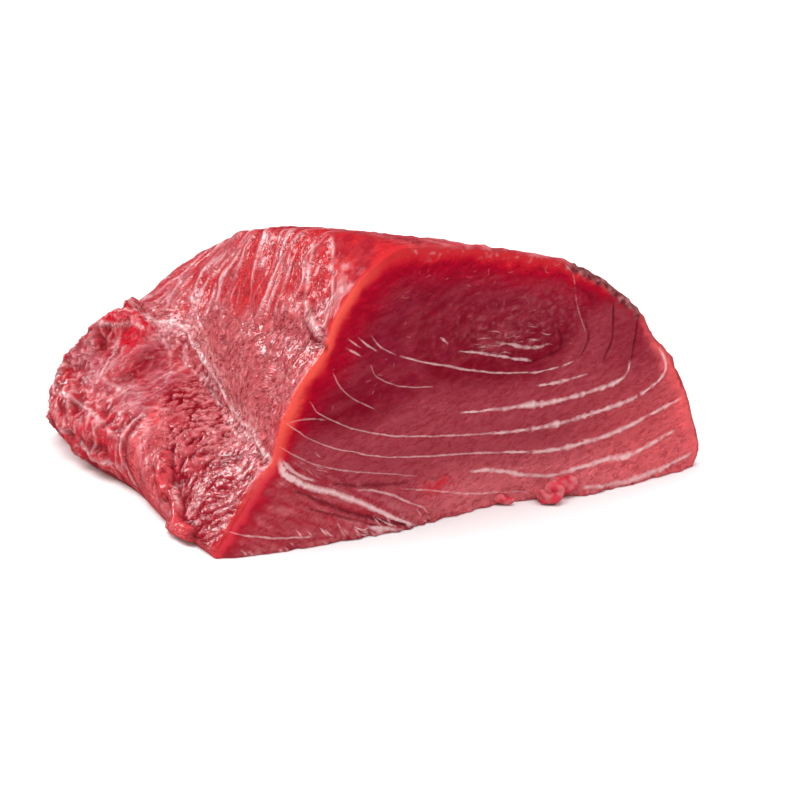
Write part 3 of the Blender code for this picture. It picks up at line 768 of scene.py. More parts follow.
def fine_relief(skin, zones):
    """Height of the skin side's fine relief at each point. Sets its fields and frills."""
    f = skin.fields = skin_fields(skin)
    frills = bump((skin.y - 114) / 7) * zone(skin.p, 0.5, 2.2, 0.3)
    skin.frills = frills * above(f["torn"], 0.7, 0.95)
    some = smoothstep(-0.4, 0.3, noise(skin.plain, 12, 13))
    by_zone = {
        "flap": 0.9 * f["flap"] - 0.6,
        "mid": 0.3 * f["plates"] + 0.1 * f["crinkle"] - 0.25,
        "upper": 0.42 * f["streaks"] + 0.1 * f["crinkle"],
        "facet": 0.12 * layered(skin.plain, 4, 2, 12),
        "flank": 0.3 * f["wrinkle"] * some,
        "dome": 0.3 * f["streaks"] + 0.35 * f["wrinkle"] - 0.15,
        "end": f["blocks"] - 0.5 + 0.25 * f["crinkle"],
        "frills": 2.1 * f["torn"] - 0.8,
        "top": 0.5 * f["fibres"] + 0.12 * f["crinkle"],
        "rind": 0.8 * f["rough"] - 0.3,
        "right": 0.35 * f["fibres"] + 0.12 * f["wrinkle"]}
    masks = {**zones, "frills": frills}
    return sum((masks[name] * amount for name, amount in by_zone.items()),
               f["body"] * (1 - 0.6 * zones["facet"]))


def painted_zones(skin, patch, speck, small):
    """Linear colour of each point of the shell as it would be in each zone, partly painted shade and
    sheen.
    """
    y, p, f = skin.y, skin.p, skin.fields
    flap, wrinkle, blocks, fibres, rough = (
        f[name] for name in ("flap", "wrinkle", "blocks", "fibres", "rough"))
    streaks = f["streaks"] + 0.22 * patch + 0.12 * small
    far = smoothstep(55, 95, y)
    pit = near_line(skin.plain, GROOVES["dome_pit"][0], 4.6)
    from_pit = np.linalg.norm(skin.plain - skin_points(*WHORL)[0], axis=1)
    whorl = stretched((from_pit / 2.4 + 1.3 * patch, y / 9, skin.plain[:, 2] / 9), 3, 98)
    rags_and_highlight = (zone(p, 3.66, 3.78, 0.04, 0.07 * small) * zone(y, 3, 15, 3)
            + zone(p, 3.48, 3.56, 0.03, 0.06 * small) * zone(y, 2, 10, 3))
    by_corner = fall(22, 36, y) * fall(1.5, 1.85, p)
    return {
        "mid": paint(
            ROSE,
            (ROSE_PALE, 0.85 * above(f["crinkle"] + 0.35 * small + 0.3 * patch, 0.3, 0.85)),
            (SCARLET, 0.55 * above(patch, 0.62, 0.9)), (CRIMSON, 0.7 * under(f["plates"], 0.05, 0.4)),
            (MEMBRANE, 0.08)),
        # Upper side: membrane streaks, greyer and whiter towards the back, partly a painted sheen there.
        "upper": paint(
            SCARLET, (CRIMSON, 0.6 * above(small, 0.45, 0.95)),
            (MEMBRANE_GREY, (0.15 + 0.5 * far) * above(streaks, 0.2, 0.6)),
            (MEMBRANE, (0.72 + 0.2 * far) * above(streaks, 0.76 - 0.22 * far.mean(), 0.95)),
            (FAT, 0.6 * above(streaks, 0.92, 0.995))),
        # Flap: its plates painted paler on their crests, a painted sheen, and crimson in their valleys,
        # painted shade.
        "flap": paint(
            ROSE_DEEP, (ROSE, 0.9 * above(flap, 0.3, 0.6)),
            (ROSE_PALE, 0.6 * above(flap + 0.2 * patch, 0.5, 0.9)),
            (MEMBRANE, 0.4 * above(flap + 0.2 * small, 0.5, 0.85) * smoothstep(1.4, 1.8, p)),
            (CRIMSON, 0.9 * under(flap, 0.2, 0.5)), (CRIMSON_DEEP, 0.95 * under(flap, 0.08, 0.3)),
            (CRIMSON, 0.9 * by_corner * under(flap + 0.3 * small, 0.6, 0.97))),
        "flank": paint(
            CORAL, (ROSE, 0.8 * above(patch, 0.2, 0.7)), (SCARLET, 0.6 * above(small, 0.55, 0.9)),
            (MEMBRANE, 0.45 * above(wrinkle + 0.4 * small, 0.4, 0.9) * smoothstep(0.5, 0.9, p)),
            (CRIMSON, 0.5 * under(wrinkle + 0.3 * speck, 0.04, 0.3)), (MEMBRANE, 0.1)),
        "dome": paint(
            ROSE, (MEMBRANE_GREY, 0.7 * above(patch, 0.2, 0.6)),
            (CRIMSON, 0.65 * under(whorl, 0.1, 0.45)), (MEMBRANE, 0.7 * above(whorl, 0.7, 0.95)),
            (CRIMSON_DEEP, 0.9 * pit * (1 - 0.8 * above(small, 0.5, 0.9)))),
        "end": paint(
            RIM_RED, (CRIMSON, 0.6 * above(patch, 0.3, 0.8)),
            (ROSE, 0.75 * above(small + 0.4 * blocks, 0.35, 0.75)),
            (CRIMSON_DEEP, 0.85 * under(blocks, 0.08, 0.45)),
            (MEMBRANE, 0.75 * above(blocks + 0.2 * speck, 0.78, 0.95)), (MEMBRANE, 0.06)),
        "top": paint(
            ROSE_DEEP, (ROSE, above(fibres, 0.2, 0.6)),
            (SKIN_BROWN, 0.5 * under(fibres + 0.4 * patch, 0.05, 0.35)),
            (MEMBRANE, 0.4 * above(fibres + 0.3 * patch, 0.6, 0.97))),
        "rind": paint(
            SKIN_BROWN, (ROSE, 0.6 * above(patch, 0.5, 0.9) * smoothstep(8, 30, y)),
            (DARK_LINE, 0.7 * under(rough + 0.3 * small, 0.1, 0.45)),
            (MEMBRANE, 0.5 * above(rough + 0.2 * small, 0.8, 0.97))),
        "right": paint(
            ROSE, (CORAL, 0.7 * above(patch + 0.5 * fibres, 0.3, 0.95)),
            (ROSE_PALE, 0.4 * above(fibres, 0.6, 0.97)),
            (CRIMSON, 0.45 * under(fibres + 0.3 * small, 0.04, 0.4))),
        # Facet: ragged pale streaks of membrane with a painted highlight on them.
        "facet": paint(
            SCARLET, (ROSE_DEEP, 0.7 * above(patch, 0.2, 0.7)), (CRIMSON, 0.7 * above(-small, 0.5, 0.9)),
            (MEMBRANE, 0.75 * np.clip(rags_and_highlight, 0, 1) * above(small, 0.45, 0.95)))}


def skin_colours(skin, zones, white):
    """Linear colour of each point of the shell, with painted shade and a painted glow along the front.
    """
    plain, y, p = skin.plain, skin.y, skin.p
    patch = layered(plain, 11, 3, 91)
    speck = noise(plain, 1.9, 93)
    small = layered(plain, 3.4, 2, 95)
    painted = painted_zones(skin, patch, speck, small)
    colour = sum(painted[name] * zones[name][:, None] for name in painted)
    colour /= np.maximum(sum(zones[name] for name in painted), 1e-6)[:, None]
    low_folds = fall(50, 70, y) * fall(1.4, 1.6, p)
    on_rolls = smoothstep(0.0, 0.7, skin.rolls) * low_folds
    by_crease = near_line(plain, STRANDS["crease_seam"][0], 5.5) * smoothstep(6, 26, y)
    net = above(creased(plain, 3.0, 2, 97) + 0.5 * patch, 0.45, 0.9)
    tag = skin.rolls * fall(16, 20, y) * smoothstep(2.9, 3.0, p)
    # Painted shade in two grooves: the flank's fold and the shelf's notch.
    fold_shade = 0.9 * near_line(plain, GROOVES["flank_fold"][0], 1.2)
    notch_shade = near_line(plain, GROOVES["shelf_fold"][0], 1.0) * fall(10, 18, y)
    white = np.clip(white, 0, 1)
    colour = paint(
        colour,
        (RIM_RED, 0.95 * zone(y, 100, 122, 6) * zone(p, 1.7, 2.04, 0.1, 0.05 * small)),
        # Painted shade round the rolls, where they meet the skin.
        (MEMBRANE, 0.75 * skin.frills), (CRIMSON_DEEP, 0.75 * skin.roll_edge * low_folds),
        (CORAL, 0.9 * on_rolls), (ROSE, 0.7 * on_rolls * above(small + 0.5 * patch, 0.35, 0.8)),
        # Painted glow of light shining through the thin front edge: scarlet, then orange.
        (MEMBRANE, 0.8 * by_crease * net), (SCARLET, 0.7 * bump(y / 1.4) * fall(3.9, 4.3, p)),
        (ORANGE_GLOW, bump(y / 0.7) * read(GLOW_ORANGE, p) * fall(5.0, 5.2, p)),
        (MEMBRANE, 0.8 * tag * above(small + speck, 0.2, 0.7)),
        (CRIMSON_DEEP, 0.8 * np.maximum(fold_shade, notch_shade)), (FAT, white * 0.9),
        (CORAL, 0.35 * fall(0.5, 3.0, plain[:, 2])))
    kept = SKIN_SHARE + (CUT_SHARE - SKIN_SHARE) * np.maximum(bump(y / 3.0), white)
    return colour * kept[:, None]


def skin_finish(skin, zones, white):
    """How each point of the shell shines, how wrinkled it is and how mottled with painted shade and
    glints.
    """
    wet, grain, mottle_and_glints = (
        sum(zones[name] * row[i] for name, row in ZONE_FINISH.items()) for i in range(3))
    wet = wet + 0.4 * skin.rolls * smoothstep(14, 18, skin.y)
    off_rim = 1 - 0.8 * bump(skin.y / 2.2)
    return [np.clip(share, 0, 1) for share in (wet, grain * off_rim + 0.2 * white, mottle_and_glints * off_rim)]


def grid_points(low, high, step):
    """Points of a staggered grid that fills the box from low to high."""
    points = []
    for number, z in enumerate(np.arange(low[1] + step * 0.6, high[1], step * math.sqrt(0.75))):
        points.append(columns(np.arange(low[0] + (number % 2) * step / 2, high[0], step), z))
    return np.vstack(points)


def inside(points, ring):
    """Which points lie inside a closed ring."""
    found = np.zeros(len(points), bool)
    for a, b in zip(ring, np.roll(ring, -1, axis=0)):
        if a[1] != b[1]:
            crosses = (a[1] > points[:, 1]) != (b[1] > points[:, 1])
            at = a[0] + (points[:, 1] - a[1]) / (b[1] - a[1]) * (b[0] - a[0])
            found ^= crosses & (points[:, 0] < at)
    return found


def nearest(points, targets):
    """Distance from each point to the nearest target, and which target that is."""
    tree = kdtree.KDTree(len(targets))
    for i, target in enumerate(targets):
        tree.insert((float(target[0]), float(target[1]), 0.0), i)
    tree.balance()
    found = [tree.find((float(p[0]), float(p[1]), 0.0)) for p in points]
    return np.array([f[2] for f in found]), np.array([f[1] for f in found])


def fill(ring, extra):
    """Triangles that fill a ring of 2-D points, using the extra points inside it too."""
    points = np.vstack((ring, extra))
    coords = [Vector((float(p[0]), float(p[1]))) for p in points]
    _, _, faces, origin, _, _ = geometry.delaunay_2d_cdt(
        coords, [], [list(range(len(ring)))], 1, 1e-7, True)
    number = np.array([source[0] for source in origin])
    faces = number[np.array(faces)]
    return faces[inside(points[faces].mean(axis=1), ring)]


def line_rows(table, seed):
    """The cut's lines: points in rows beside each other, and (x, z, width, strength) along them."""
    points, middles = [], []
    for number, (widths, strength, broken, route) in enumerate(table):
        centre = smooth_line(route, LINE_STEP)
        reach = np.arange(len(centre)) * LINE_STEP
        mark = columns(reach / 1.7, number * 5.3 + seed * 91.0, 0.0)
        slope = np.gradient(centre, axis=0)
        side = columns(-slope[:, 1], slope[:, 0]) / np.linalg.norm(slope, axis=1)[:, None]
        centre = centre + side * (noise(mark, 2.6, 3) * 0.22 + noise(mark, 0.9, 4) * 0.08)[:, None]
        share = reach / max(reach[-1], 1e-6)
        uneven = 1 + broken * 1.2 * noise(mark, 0.9, 5) + 0.4 * noise(mark, 0.5, 6)
        width = np.clip(np.interp(share, (0, 0.5, 1), widths) * uneven, LINE_THINNEST, None)
        power = np.clip(1.15 - broken * (0.35 + 1.3 * layered(mark, 1.4, 2, 7)), 0.0, 1.0)
        tips = smoothstep(-0.4, 1.6, reach) * fall(reach[-1] - 1.6, reach[-1] + 0.4, reach)
        power = power * (0.25 + 0.75 * tips) * strength
        for half, out in ((0.0, 0.0), (-0.5, 0.0), (0.5, 0.0), (-0.5, -LINE_EDGE), (0.5, LINE_EDGE)):
            points.append(centre + side * (width * half + out)[:, None])
        middles.append(columns(*centre.T, width, power))
    return np.vstack(points), np.vstack(middles)


def line_strength(points, middles):
    """How strong the lines are at each point, from how close it lies to their middles."""
    gap, which = nearest(points, middles[:, :2])
    width, power = middles[which, 2], middles[which, 3]
    return power * fall(0.3 * width, 0.5 * width + LINE_EDGE, gap)


def thin_out(points, gap):
    """Which points to keep so that no two kept ones are closer than the gap."""
    kept = {}
    keep = np.zeros(len(points), bool)
    for i, (x, z) in enumerate(points):
        column, row = int(x // gap), int(z // gap)
        near = [spot for dx in (-1, 0, 1) for dz in (-1, 0, 1)
                for spot in kept.get((column + dx, row + dz), ())]
        if all((x - a) ** 2 + (z - b) ** 2 >= gap * gap for a, b in near):
            kept.setdefault((column, row), []).append((x, z))
            keep[i] = True
    return keep


def fill_points(ring, rows, step, gaps):
    """Points to fill a ring with: those of the lines, thinned out, and a grid between them."""
    rows_to_ring, grid_to_ring, grid_to_rows = gaps
    rows = rows[inside(rows, ring)]
    rows = rows[nearest(rows, ring)[0] > rows_to_ring]
    rows = rows[thin_out(rows, SPOT_GAP)]
    grid = grid_points(ring.min(0), ring.max(0), step)
    grid = grid[inside(grid, ring)]
    grid = grid[nearest(grid, ring)[0] > grid_to_ring]
    return np.vstack((rows, grid[nearest(grid, rows)[0] > grid_to_rows]))


def short_lines(count, middle, spread, size, angle, swing, seed, bold=1.0):
    """Short straight lines scattered round a middle: rows like those of the cut's lines."""
    rng = np.random.default_rng(seed)
    rows = []
    for _ in range(count):
        spot = np.array(middle) + np.array(spread) * (rng.uniform(-1, 1), rng.uniform(-1, 1))
        turn = math.radians(angle + swing * rng.uniform(-1, 1))
        half = size * rng.uniform(0.4, 1.0) / 2
        bend = rng.uniform(-0.25, 0.25) * half
        step = np.array((math.cos(turn), math.sin(turn))) * half
        side = np.array((-step[1], step[0])) / half * bend
        width = bold * rng.uniform(0.12, 0.32)
        strength = min(1.0, bold * rng.uniform(0.2, 0.65))
        widths = width * 0.5, width, width * 0.4
        rows.append((widths, strength, 0.3, (spot - step, spot + side, spot + step)))
    return rows


def cut_flow(points):
    """Places along and across the fibres of a cut: millimetres, shortened along and widened across."""
    turn = math.radians(FIBRE_LEAN)
    x, z = points[:, 0], points[:, 1]
    return ((x * math.cos(turn) + z * math.sin(turn)) * FIBRE_ALONG,
            (z * math.cos(turn) - x * math.sin(turn)) * FIBRE_ACROSS + CUT_FLOW_START)


class Cut:
    """Points of the front cut, and what their depth, colour and finish are read from."""

    def __init__(self, points, rim, places, lines, darks, flecks):
        self.points = points
        self.x, self.z = points[:, 0], points[:, 1]
        self.white = np.maximum(line_strength(points, lines), line_strength(points, flecks))
        self.dark = line_strength(points, darks) * (1 - self.white)
        self.rim_gap, which = nearest(points, rim)
        self.rim_place = places[which]
        self.flat = columns(self.x, 0.0, self.z)
        self.patch = layered(self.flat, 12, 3, 111)
        self.speck = noise(self.flat, 1.5, 113)
        self.small = layered(self.flat, 3.0, 2, 115)
        self.under_sheen_edge = read(SHEEN_EDGE, self.x) - self.z

    def depth(self):
        """How far back (+) each point lies from the flat plane of the cut."""
        x, z, flat = self.x, self.z, self.flat
        depth = EYE_DEPTH * blob(x, z, EYE, EYE_SIZE) - SWELL_HEIGHT * blob(x, z, SWELL, SWELL_SIZE)
        depth = depth + 0.28 * layered(flat, 13, 3, 103) + 0.07 * layered(flat, 2.6, 2, 104)
        # The wrinkled middle of the eye, the torn swelling low in the middle and the ragged foot.
        leaned = columns(x * 0.35 + z * 0.12, 0.0, z - x * 0.06)
        depth += blob(x, z, EYE_WRINKLED, (17, 6.5)) * 0.6 * creased(leaned, 2.2, 2, 105)
        depth -= 1.1 * blob(x, z, (66, 9.6), (5.2, 2.6))
        ragged = np.interp(x, (-4, 20, 58, 100, 160), (0.3, 1.0, 1.5, 1.3, 0.9))
        depth += bump(z / 3.6) * ragged * layered(flat, 4.2, 3, 106)
        depth = depth * smoothstep(0.0, 3.5, self.rim_gap) - foot_spread(x, z)
        return depth - 0.16 * self.white + 0.3 * self.dark

    def meat(self):
        """Linear colour of the meat with its painted sheen low down, without the cut's rim, foot and
        lines.
        """
        x, z, patch, small = self.x, self.z, self.patch, self.small
        length, width = cut_flow(self.points)
        hatch = stretched((length / 2.0, width / 1.3, 0.0), 3, 112)
        smears = above(stretched((length / 5.0, width / 4.2, 0.0), 2, 118), 0.55, 0.95)
        # Painted sheen: below its edge the cut is painted paler, for the white floor's reflection.
        sheen = smoothstep(-3.0, 7.0, self.under_sheen_edge + 2.5 * patch)
        eye = blob(x, z, (92, 54), (24, 9))
        # 1 on an oval round the eye, 2 on one of twice its size; the rings follow it.
        from_eye = np.sqrt(((x - 92) / 26) ** 2 + ((z - 52) / 15) ** 2)
        rings = stretched((from_eye * 8 + 0.5 * patch, x / 26, z / 26), 3, 116)
        ringed = fall(1.0, 1.9, from_eye) * (1 - sheen)
        # Painted sheen in the lower right: paler coral.
        low_right_sheen = smoothstep(100, 150, x) * smoothstep(44, 8, z)
        over_fat = z - read(FAT_EDGE, x)
        near_fat = smoothstep(9, 3, over_fat) * fall(56, 66, x)
        streak = stretched(((x * 0.87 - z * 0.5) / 8.0, (z * 0.87 + x * 0.5) / 1.4, 0.0), 3, 117)
        # The dark wedge that runs in from the left edge.
        thickness = np.interp(x, (18, 26, 46), (1.8, 2.4, 1.0))
        wedge = bump((z - 34.6 - (x - 20) * 0.03) / thickness) * zone(x, 18, 46, 8)
        return paint(
            CUT_WINE, (CUT_ROSE, sheen),
            (CUT_DARK, 0.8 * above(patch + 0.3 * small, 0.45, 0.95) * (1 - sheen)),
            (CUT_RED, smoothstep(15, 5, self.rim_gap) * (1 - sheen)), (CUT_WINE, 0.8 * eye),
            (CUT_DARK, 0.8 * above(rings, 0.5, 0.95) * ringed),
            (CUT_ROSE, 0.35 * under(rings, 0.05, 0.45) * ringed),
            # Grey smears of wet membrane in the eye, with a painted sheen on them.
            (MEMBRANE_GREY, 0.5 * eye * above(self.speck + 0.4 * hatch, 0.6, 0.95)),
            # Painted sheen: a paler band low on the right half of the cut.
            (CUT_SHEEN, 0.9 * smoothstep(19, 4, z) * smoothstep(45, 75, x)),
            (CORAL, 0.7 * low_right_sheen), (MEMBRANE, 0.14 * low_right_sheen),
            (CUT_WINE, 0.7 * blob(x, z, (134, 44), (14, 12))),
            (CUT_FOOT, smoothstep(3, -3, over_fat) * fall(54, 60, x)),
            (CRIMSON, 0.65 * near_fat * above(streak, 0.45, 0.9)),
            (ROSE_PALE, 0.35 * near_fat * under(streak, 0.06, 0.45)),
            (CUT_DARK, 0.85 * wedge), (CUT_DARK, 0.6 * blob(x, z, (42, 37), (12, 6))),
            (CRIMSON_DEEP, (0.32 - 0.12 * sheen) * above(hatch, 0.5, 0.95) * (1 - 0.5 * eye)),
            (CUT_ROSE, 0.16 * under(hatch, 0.05, 0.5) * (1 - sheen)),
            (CUT_ROSE, 0.3 * smears * (1 - sheen) * smoothstep(5, 12, self.rim_gap)),
            (ROSE_PALE, 0.08 * under(hatch, 0.05, 0.5) * sheen))

    def with_rim_glow(self, colour):
        """Colours with the painted glow of light through the thin edge along the rim, and the dark scrap
        of skin over them.
        """
        place, gap, small, speck = self.rim_place, self.rim_gap, self.small, self.speck
        reach = gap / (read(GLOW_BAND, place) * (1 + 0.35 * self.patch + 0.35 * small))
        right = smoothstep(5.4, 6.6, place)
        left = (1 - right) * np.interp(place, (1.2, 2.0), (0.85, 1.0))
        orange = read(GLOW_ORANGE, place)
        rays = above(stretched((place * 16, gap / 9, 0.0), 2, 114), 0.1, 0.9)
        scrap = paint(
            SKIN_BROWN, (DARK_LINE, 0.8 * under(speck + 0.5 * small, 0.2, 0.6)),
            (MEMBRANE, 0.5 * above(speck, 0.8, 0.97)))
        # Painted glow of light shining through the thin edge: red to orange on the left and top, pink on
        # the right.
        colour = paint(
            colour, (CUT_RED, 0.9 * fall(1.0, 3.0, reach) * left),
            (RIM_RED, 0.9 * fall(0.5, 1.7, reach) * left), (SCARLET, 0.9 * fall(0.2, 1.3, reach) * left),
            (ORANGE_GLOW, orange * fall(0.0, 1.1, reach) * left),
            (CURL_RED, 0.75 * fall(0.2, 1.5, reach) * fall(1.7, 2.2, place) * left),
            (GLOW_PINK, 0.9 * fall(0.1, 1.3, reach) * (0.4 + 0.6 * rays) * right),
            (ORANGE_GLOW, orange * fall(0.1, 0.6, reach) * right),
            (MEMBRANE, 0.55 * fall(0.2, 1.0, reach) * zone(place, 4.0, 5.3, 0.2)
             * above(speck + 0.4 * small, 0.75, 0.95)))
        return blend(colour, scrap, fall(1.0, 2.4, gap + 0.8 * small) * zone(place, 5.15, 6.1, 0.2))

    def colours(self):
        """Linear colour of each point."""
        speck = self.speck
        foot = smoothstep(3.2, 0.6, self.z)
        torn = blob(self.x, self.z, (66, 9.8), (5.2, 2.4))
        return CUT_SHARE * paint(
            self.with_rim_glow(self.meat()), (ROSE_PALE, 0.5 * foot * above(speck + self.patch, 0.5, 0.9)),
            (CRIMSON, 0.5 * foot * under(speck, 0.1, 0.4)),
            (RIM_RED, 0.75 * torn * above(self.small + 0.5 * speck, 0.35, 0.75)),
            (DARK_LINE, 0.92 * self.dark), (FAT, 0.92 * self.white))

    def finish(self):
        """How strongly each point shines, how wrinkled it is and how mottled with painted shade and
        glints.
        """
        eye = blob(self.x, self.z, EYE_WRINKLED, (18, 7))
        low = smoothstep(8, 1, self.z)
        wet = 0.05 + 0.8 * eye + 0.3 * self.white + 0.25 * low + 0.5 * bump(self.rim_gap / 2.0)
        mottle_and_glints = 0.45 + 0.1 * eye + 0.15 * smoothstep(-2, 6, -self.under_sheen_edge)
        mottle_and_glints = mottle_and_glints * smoothstep(0.5, 5.0, self.rim_gap) * (1 - 0.85 * self.white)
        return [np.clip(share, 0, 1) for share in (wet, 0.12 + 0.5 * eye + 0.1 * self.white, mottle_and_glints)]


class Meat:
    """A closed mesh of meat, with the colour and finish of every point."""

    def __init__(self):
        self.points, self.colours, self.finish, self.faces = [], [], [], []
        self.count = 0

    def add(self, points, colours, finish, flow):
        """Add points with their colours, finish (wet, grain, mottle_and_glints) and flow. Returns their
        numbers.
        """
        self.points.append(points)
        self.colours.append(columns(*colours.T, 1.0))
        self.finish.append(columns(*finish, *flow, 0.0))
        self.count += len(points)
        return np.arange(self.count - len(points), self.count)

    def join(self, numbers, faces):
        """Add faces that are stated by the places of their corners in a list of point numbers."""
        self.faces.extend(np.asarray(numbers)[faces].tolist())

    def build(self, name):
        """Mesh object of everything that was added."""
        data = bpy.data.meshes.new(name)
        data.from_pydata(row_frame(np.vstack(self.points)).tolist(), [], self.faces)
        finish = np.vstack(self.finish)
        for key, kind, field, values in (
                ("meat_colour", "FLOAT_COLOR", "color", np.vstack(self.colours)),
                ("shine", "FLOAT", "value", finish[:, 0]), ("grain", "FLOAT", "value", finish[:, 1]),
                ("mottle_and_glints", "FLOAT", "value", finish[:, 2]),
                ("flow", "FLOAT_VECTOR", "vector", finish[:, 3:])):
            layer = data.attributes.new(key, kind, "POINT")
            layer.data.foreach_set(field, values.ravel().astype(np.float32))
        data.update()
        data.shade_smooth()
        return stand(name, data)


def make_skin(meat):
    """Add the shell round the block. Returns it, the numbers of its grid and its points."""
    skin = Skin()
    zones = skin_zones(skin)
    shaped = moved_by_relief(skin)
    white, lift = strand_masks(skin)
    height = fine_relief(skin, zones) + lift
    fade = smoothstep(0.1, 2.2, skin.y) * skin.above_foot
    spots = shaped + normals_of(shaped, skin.shape) * (height * fade)[:, None]
    forward = np.clip(1 - skin.y / SPREAD_FADE, 0, 1) ** 1.5
    spots[:, 1] -= foot_spread(spots[:, 0], spots[:, 2]) * forward
    spots[:, 2] = np.maximum(spots[:, 2], 0.0)
    grid = spots.reshape(*skin.shape, 3)
    grid[:, (0, -1), 2] = 0.0
    across, down = skin_flow(skin)
    numbers = meat.add(
        grid.reshape(-1, 3), skin_colours(skin, zones, white), skin_finish(skin, zones, white),
        (across, down * 0.7)).reshape(skin.shape)
    corners = numbers[:-1, :-1], numbers[:-1, 1:], numbers[1:, 1:], numbers[1:, :-1]
    meat.faces.extend(np.stack(corners, -1).reshape(-1, 4).tolist())
    return skin, numbers, grid


def make_front(meat, skin, numbers, grid):
    """Add the front cut. Returns the numbers and points of its lower edge, from right to left."""
    rim = grid[0]
    left, right = rim[0, 0], rim[-1, 0]
    foot = columns(np.linspace(right, left, round((right - left) / FOOT_STEP) + 1)[1:-1], 0.0)
    ring = np.vstack((rim[:, [0, 2]], foot))
    flecks = [row for fleck in FLECKS for row in short_lines(*fleck)]
    rows, middles = zip(*(line_rows(table, seed) for table, seed in (
        (CUT_LINES.values(), 1), (CUT_DARKS.values(), 2), (flecks, 3))))
    extra = fill_points(ring, np.vstack(rows), CUT_STEP, (0.4, 0.42, 0.4))
    cut = Cut(np.vstack((foot, extra)), rim[:, [0, 2]], skin.places, *middles)
    spots = columns(cut.x, cut.depth(), cut.z)
    added = meat.add(spots, cut.colours(), cut.finish(), cut_flow(cut.points))
    meat.join((*numbers[0], *added), fill(ring, extra))
    return added[:len(foot)], spots[:len(foot)]


def back_lines(ring):
    """Nested muscle lines of the back end's cut."""
    lines = []
    for k in range(BACK_LINES):
        # Each line lies higher and is shorter and flatter than the one below it.
        low = 4.0 + 6.6 * k
        x = np.linspace(-4 + 2.5 * k, 146 - 4 * k, 33)
        bow = (x - 76 - 1.5 * k) / 62
        sway = noise(columns(x, 9 * k, 0.0), 24, 7)
        route = columns(x, low + 13 * bow ** 2 * (1 - low / 60) + 1.6 * sway)
        route = route[inside(route, ring)]
        if len(route) > 6:
            lines.append(((0.3, 0.8, 0.4), 0.75, 0.5, route[1:-1]))
    return lines


def make_back(meat, numbers, grid):
    """Add the back end's cut. Returns the numbers and points of its lower edge, from right to left."""
    rim = grid[-1]
    left, right = rim[0, 0], rim[-1, 0]
    foot = columns(right + (left - right) * np.linspace(0, 1, BACK_FOOT_STEPS + 1)[1:-1], 0.0)
    ring = np.vstack((rim[:, [0, 2]], foot))
    rows, lines = line_rows(back_lines(ring), 4)
    extra = fill_points(ring, rows, BACK_STEP, (1.6, 0.9, 0.6))
    points = np.vstack((foot, extra))
    x, z = points[:, 0], points[:, 1]
    white = line_strength(points, lines)
    gap = nearest(points, rim[:, [0, 2]])[0]
    flat = columns(x, 80.0, z)
    y = np.interp(x, (left, right), (rim[0, 1], rim[-1, 1]))
    bulge = BACK_BULGE * smoothstep(0, 26, np.minimum(gap, z + 6.0))
    bulge = bulge + 0.6 * layered(flat, 12, 3, 131) * smoothstep(0, 5, gap)
    spots = columns(x, y + bulge + 0.1 * white, z)
    patch = layered(flat, 11, 3, 132)
    # Paler low down, a painted sheen, and scarlet along the rim, a painted glow, as on the front cut.
    colour = CUT_SHARE * paint(
        CUT_RED, (CUT_ROSE, smoothstep(40, 10, z + 8 * patch)),
        (CUT_WINE, 0.7 * smoothstep(-0.3, 0.7, patch)), (SCARLET, 0.8 * fall(1.0, 7.0, gap)),
        (FAT, 0.9 * white))
    added = meat.add(spots, colour, (0.1 + 0.3 * white, 0.2, 0.4), cut_flow(points))
    meat.join((*numbers[-1], *added), fill(ring, extra)[:, ::-1])
    return added[:len(foot)], spots[:len(foot)]


def make_underside(meat, numbers, grid, front, back):
    """Add the flat underside between the four lower edges."""
    around = np.concatenate((numbers[:, -1], back[0], numbers[::-1, 0], front[0][::-1]))
    ring = np.vstack((grid[:, -1, :2], back[1][:, :2], grid[::-1, 0, :2], front[1][::-1, :2]))
    inner = grid_points(ring.min(0), ring.max(0), UNDER_STEP)
    inner = inner[inside(inner, ring)]
    inner = inner[nearest(inner, ring)[0] > UNDER_STEP / 2]
    spots = columns(*inner.T, 0.0)
    tone = smoothstep(-0.3, 0.5, layered(spots, 12, 3, 141))
    colour = CUT_SHARE * paint(CUT_ROSE, (ROSE_PALE, tone))
    added = meat.add(spots, colour, (0.3, 0.4, 0.5), cut_flow(spots))
    meat.join((*around, *added), fill(ring, inner)[:, ::-1])


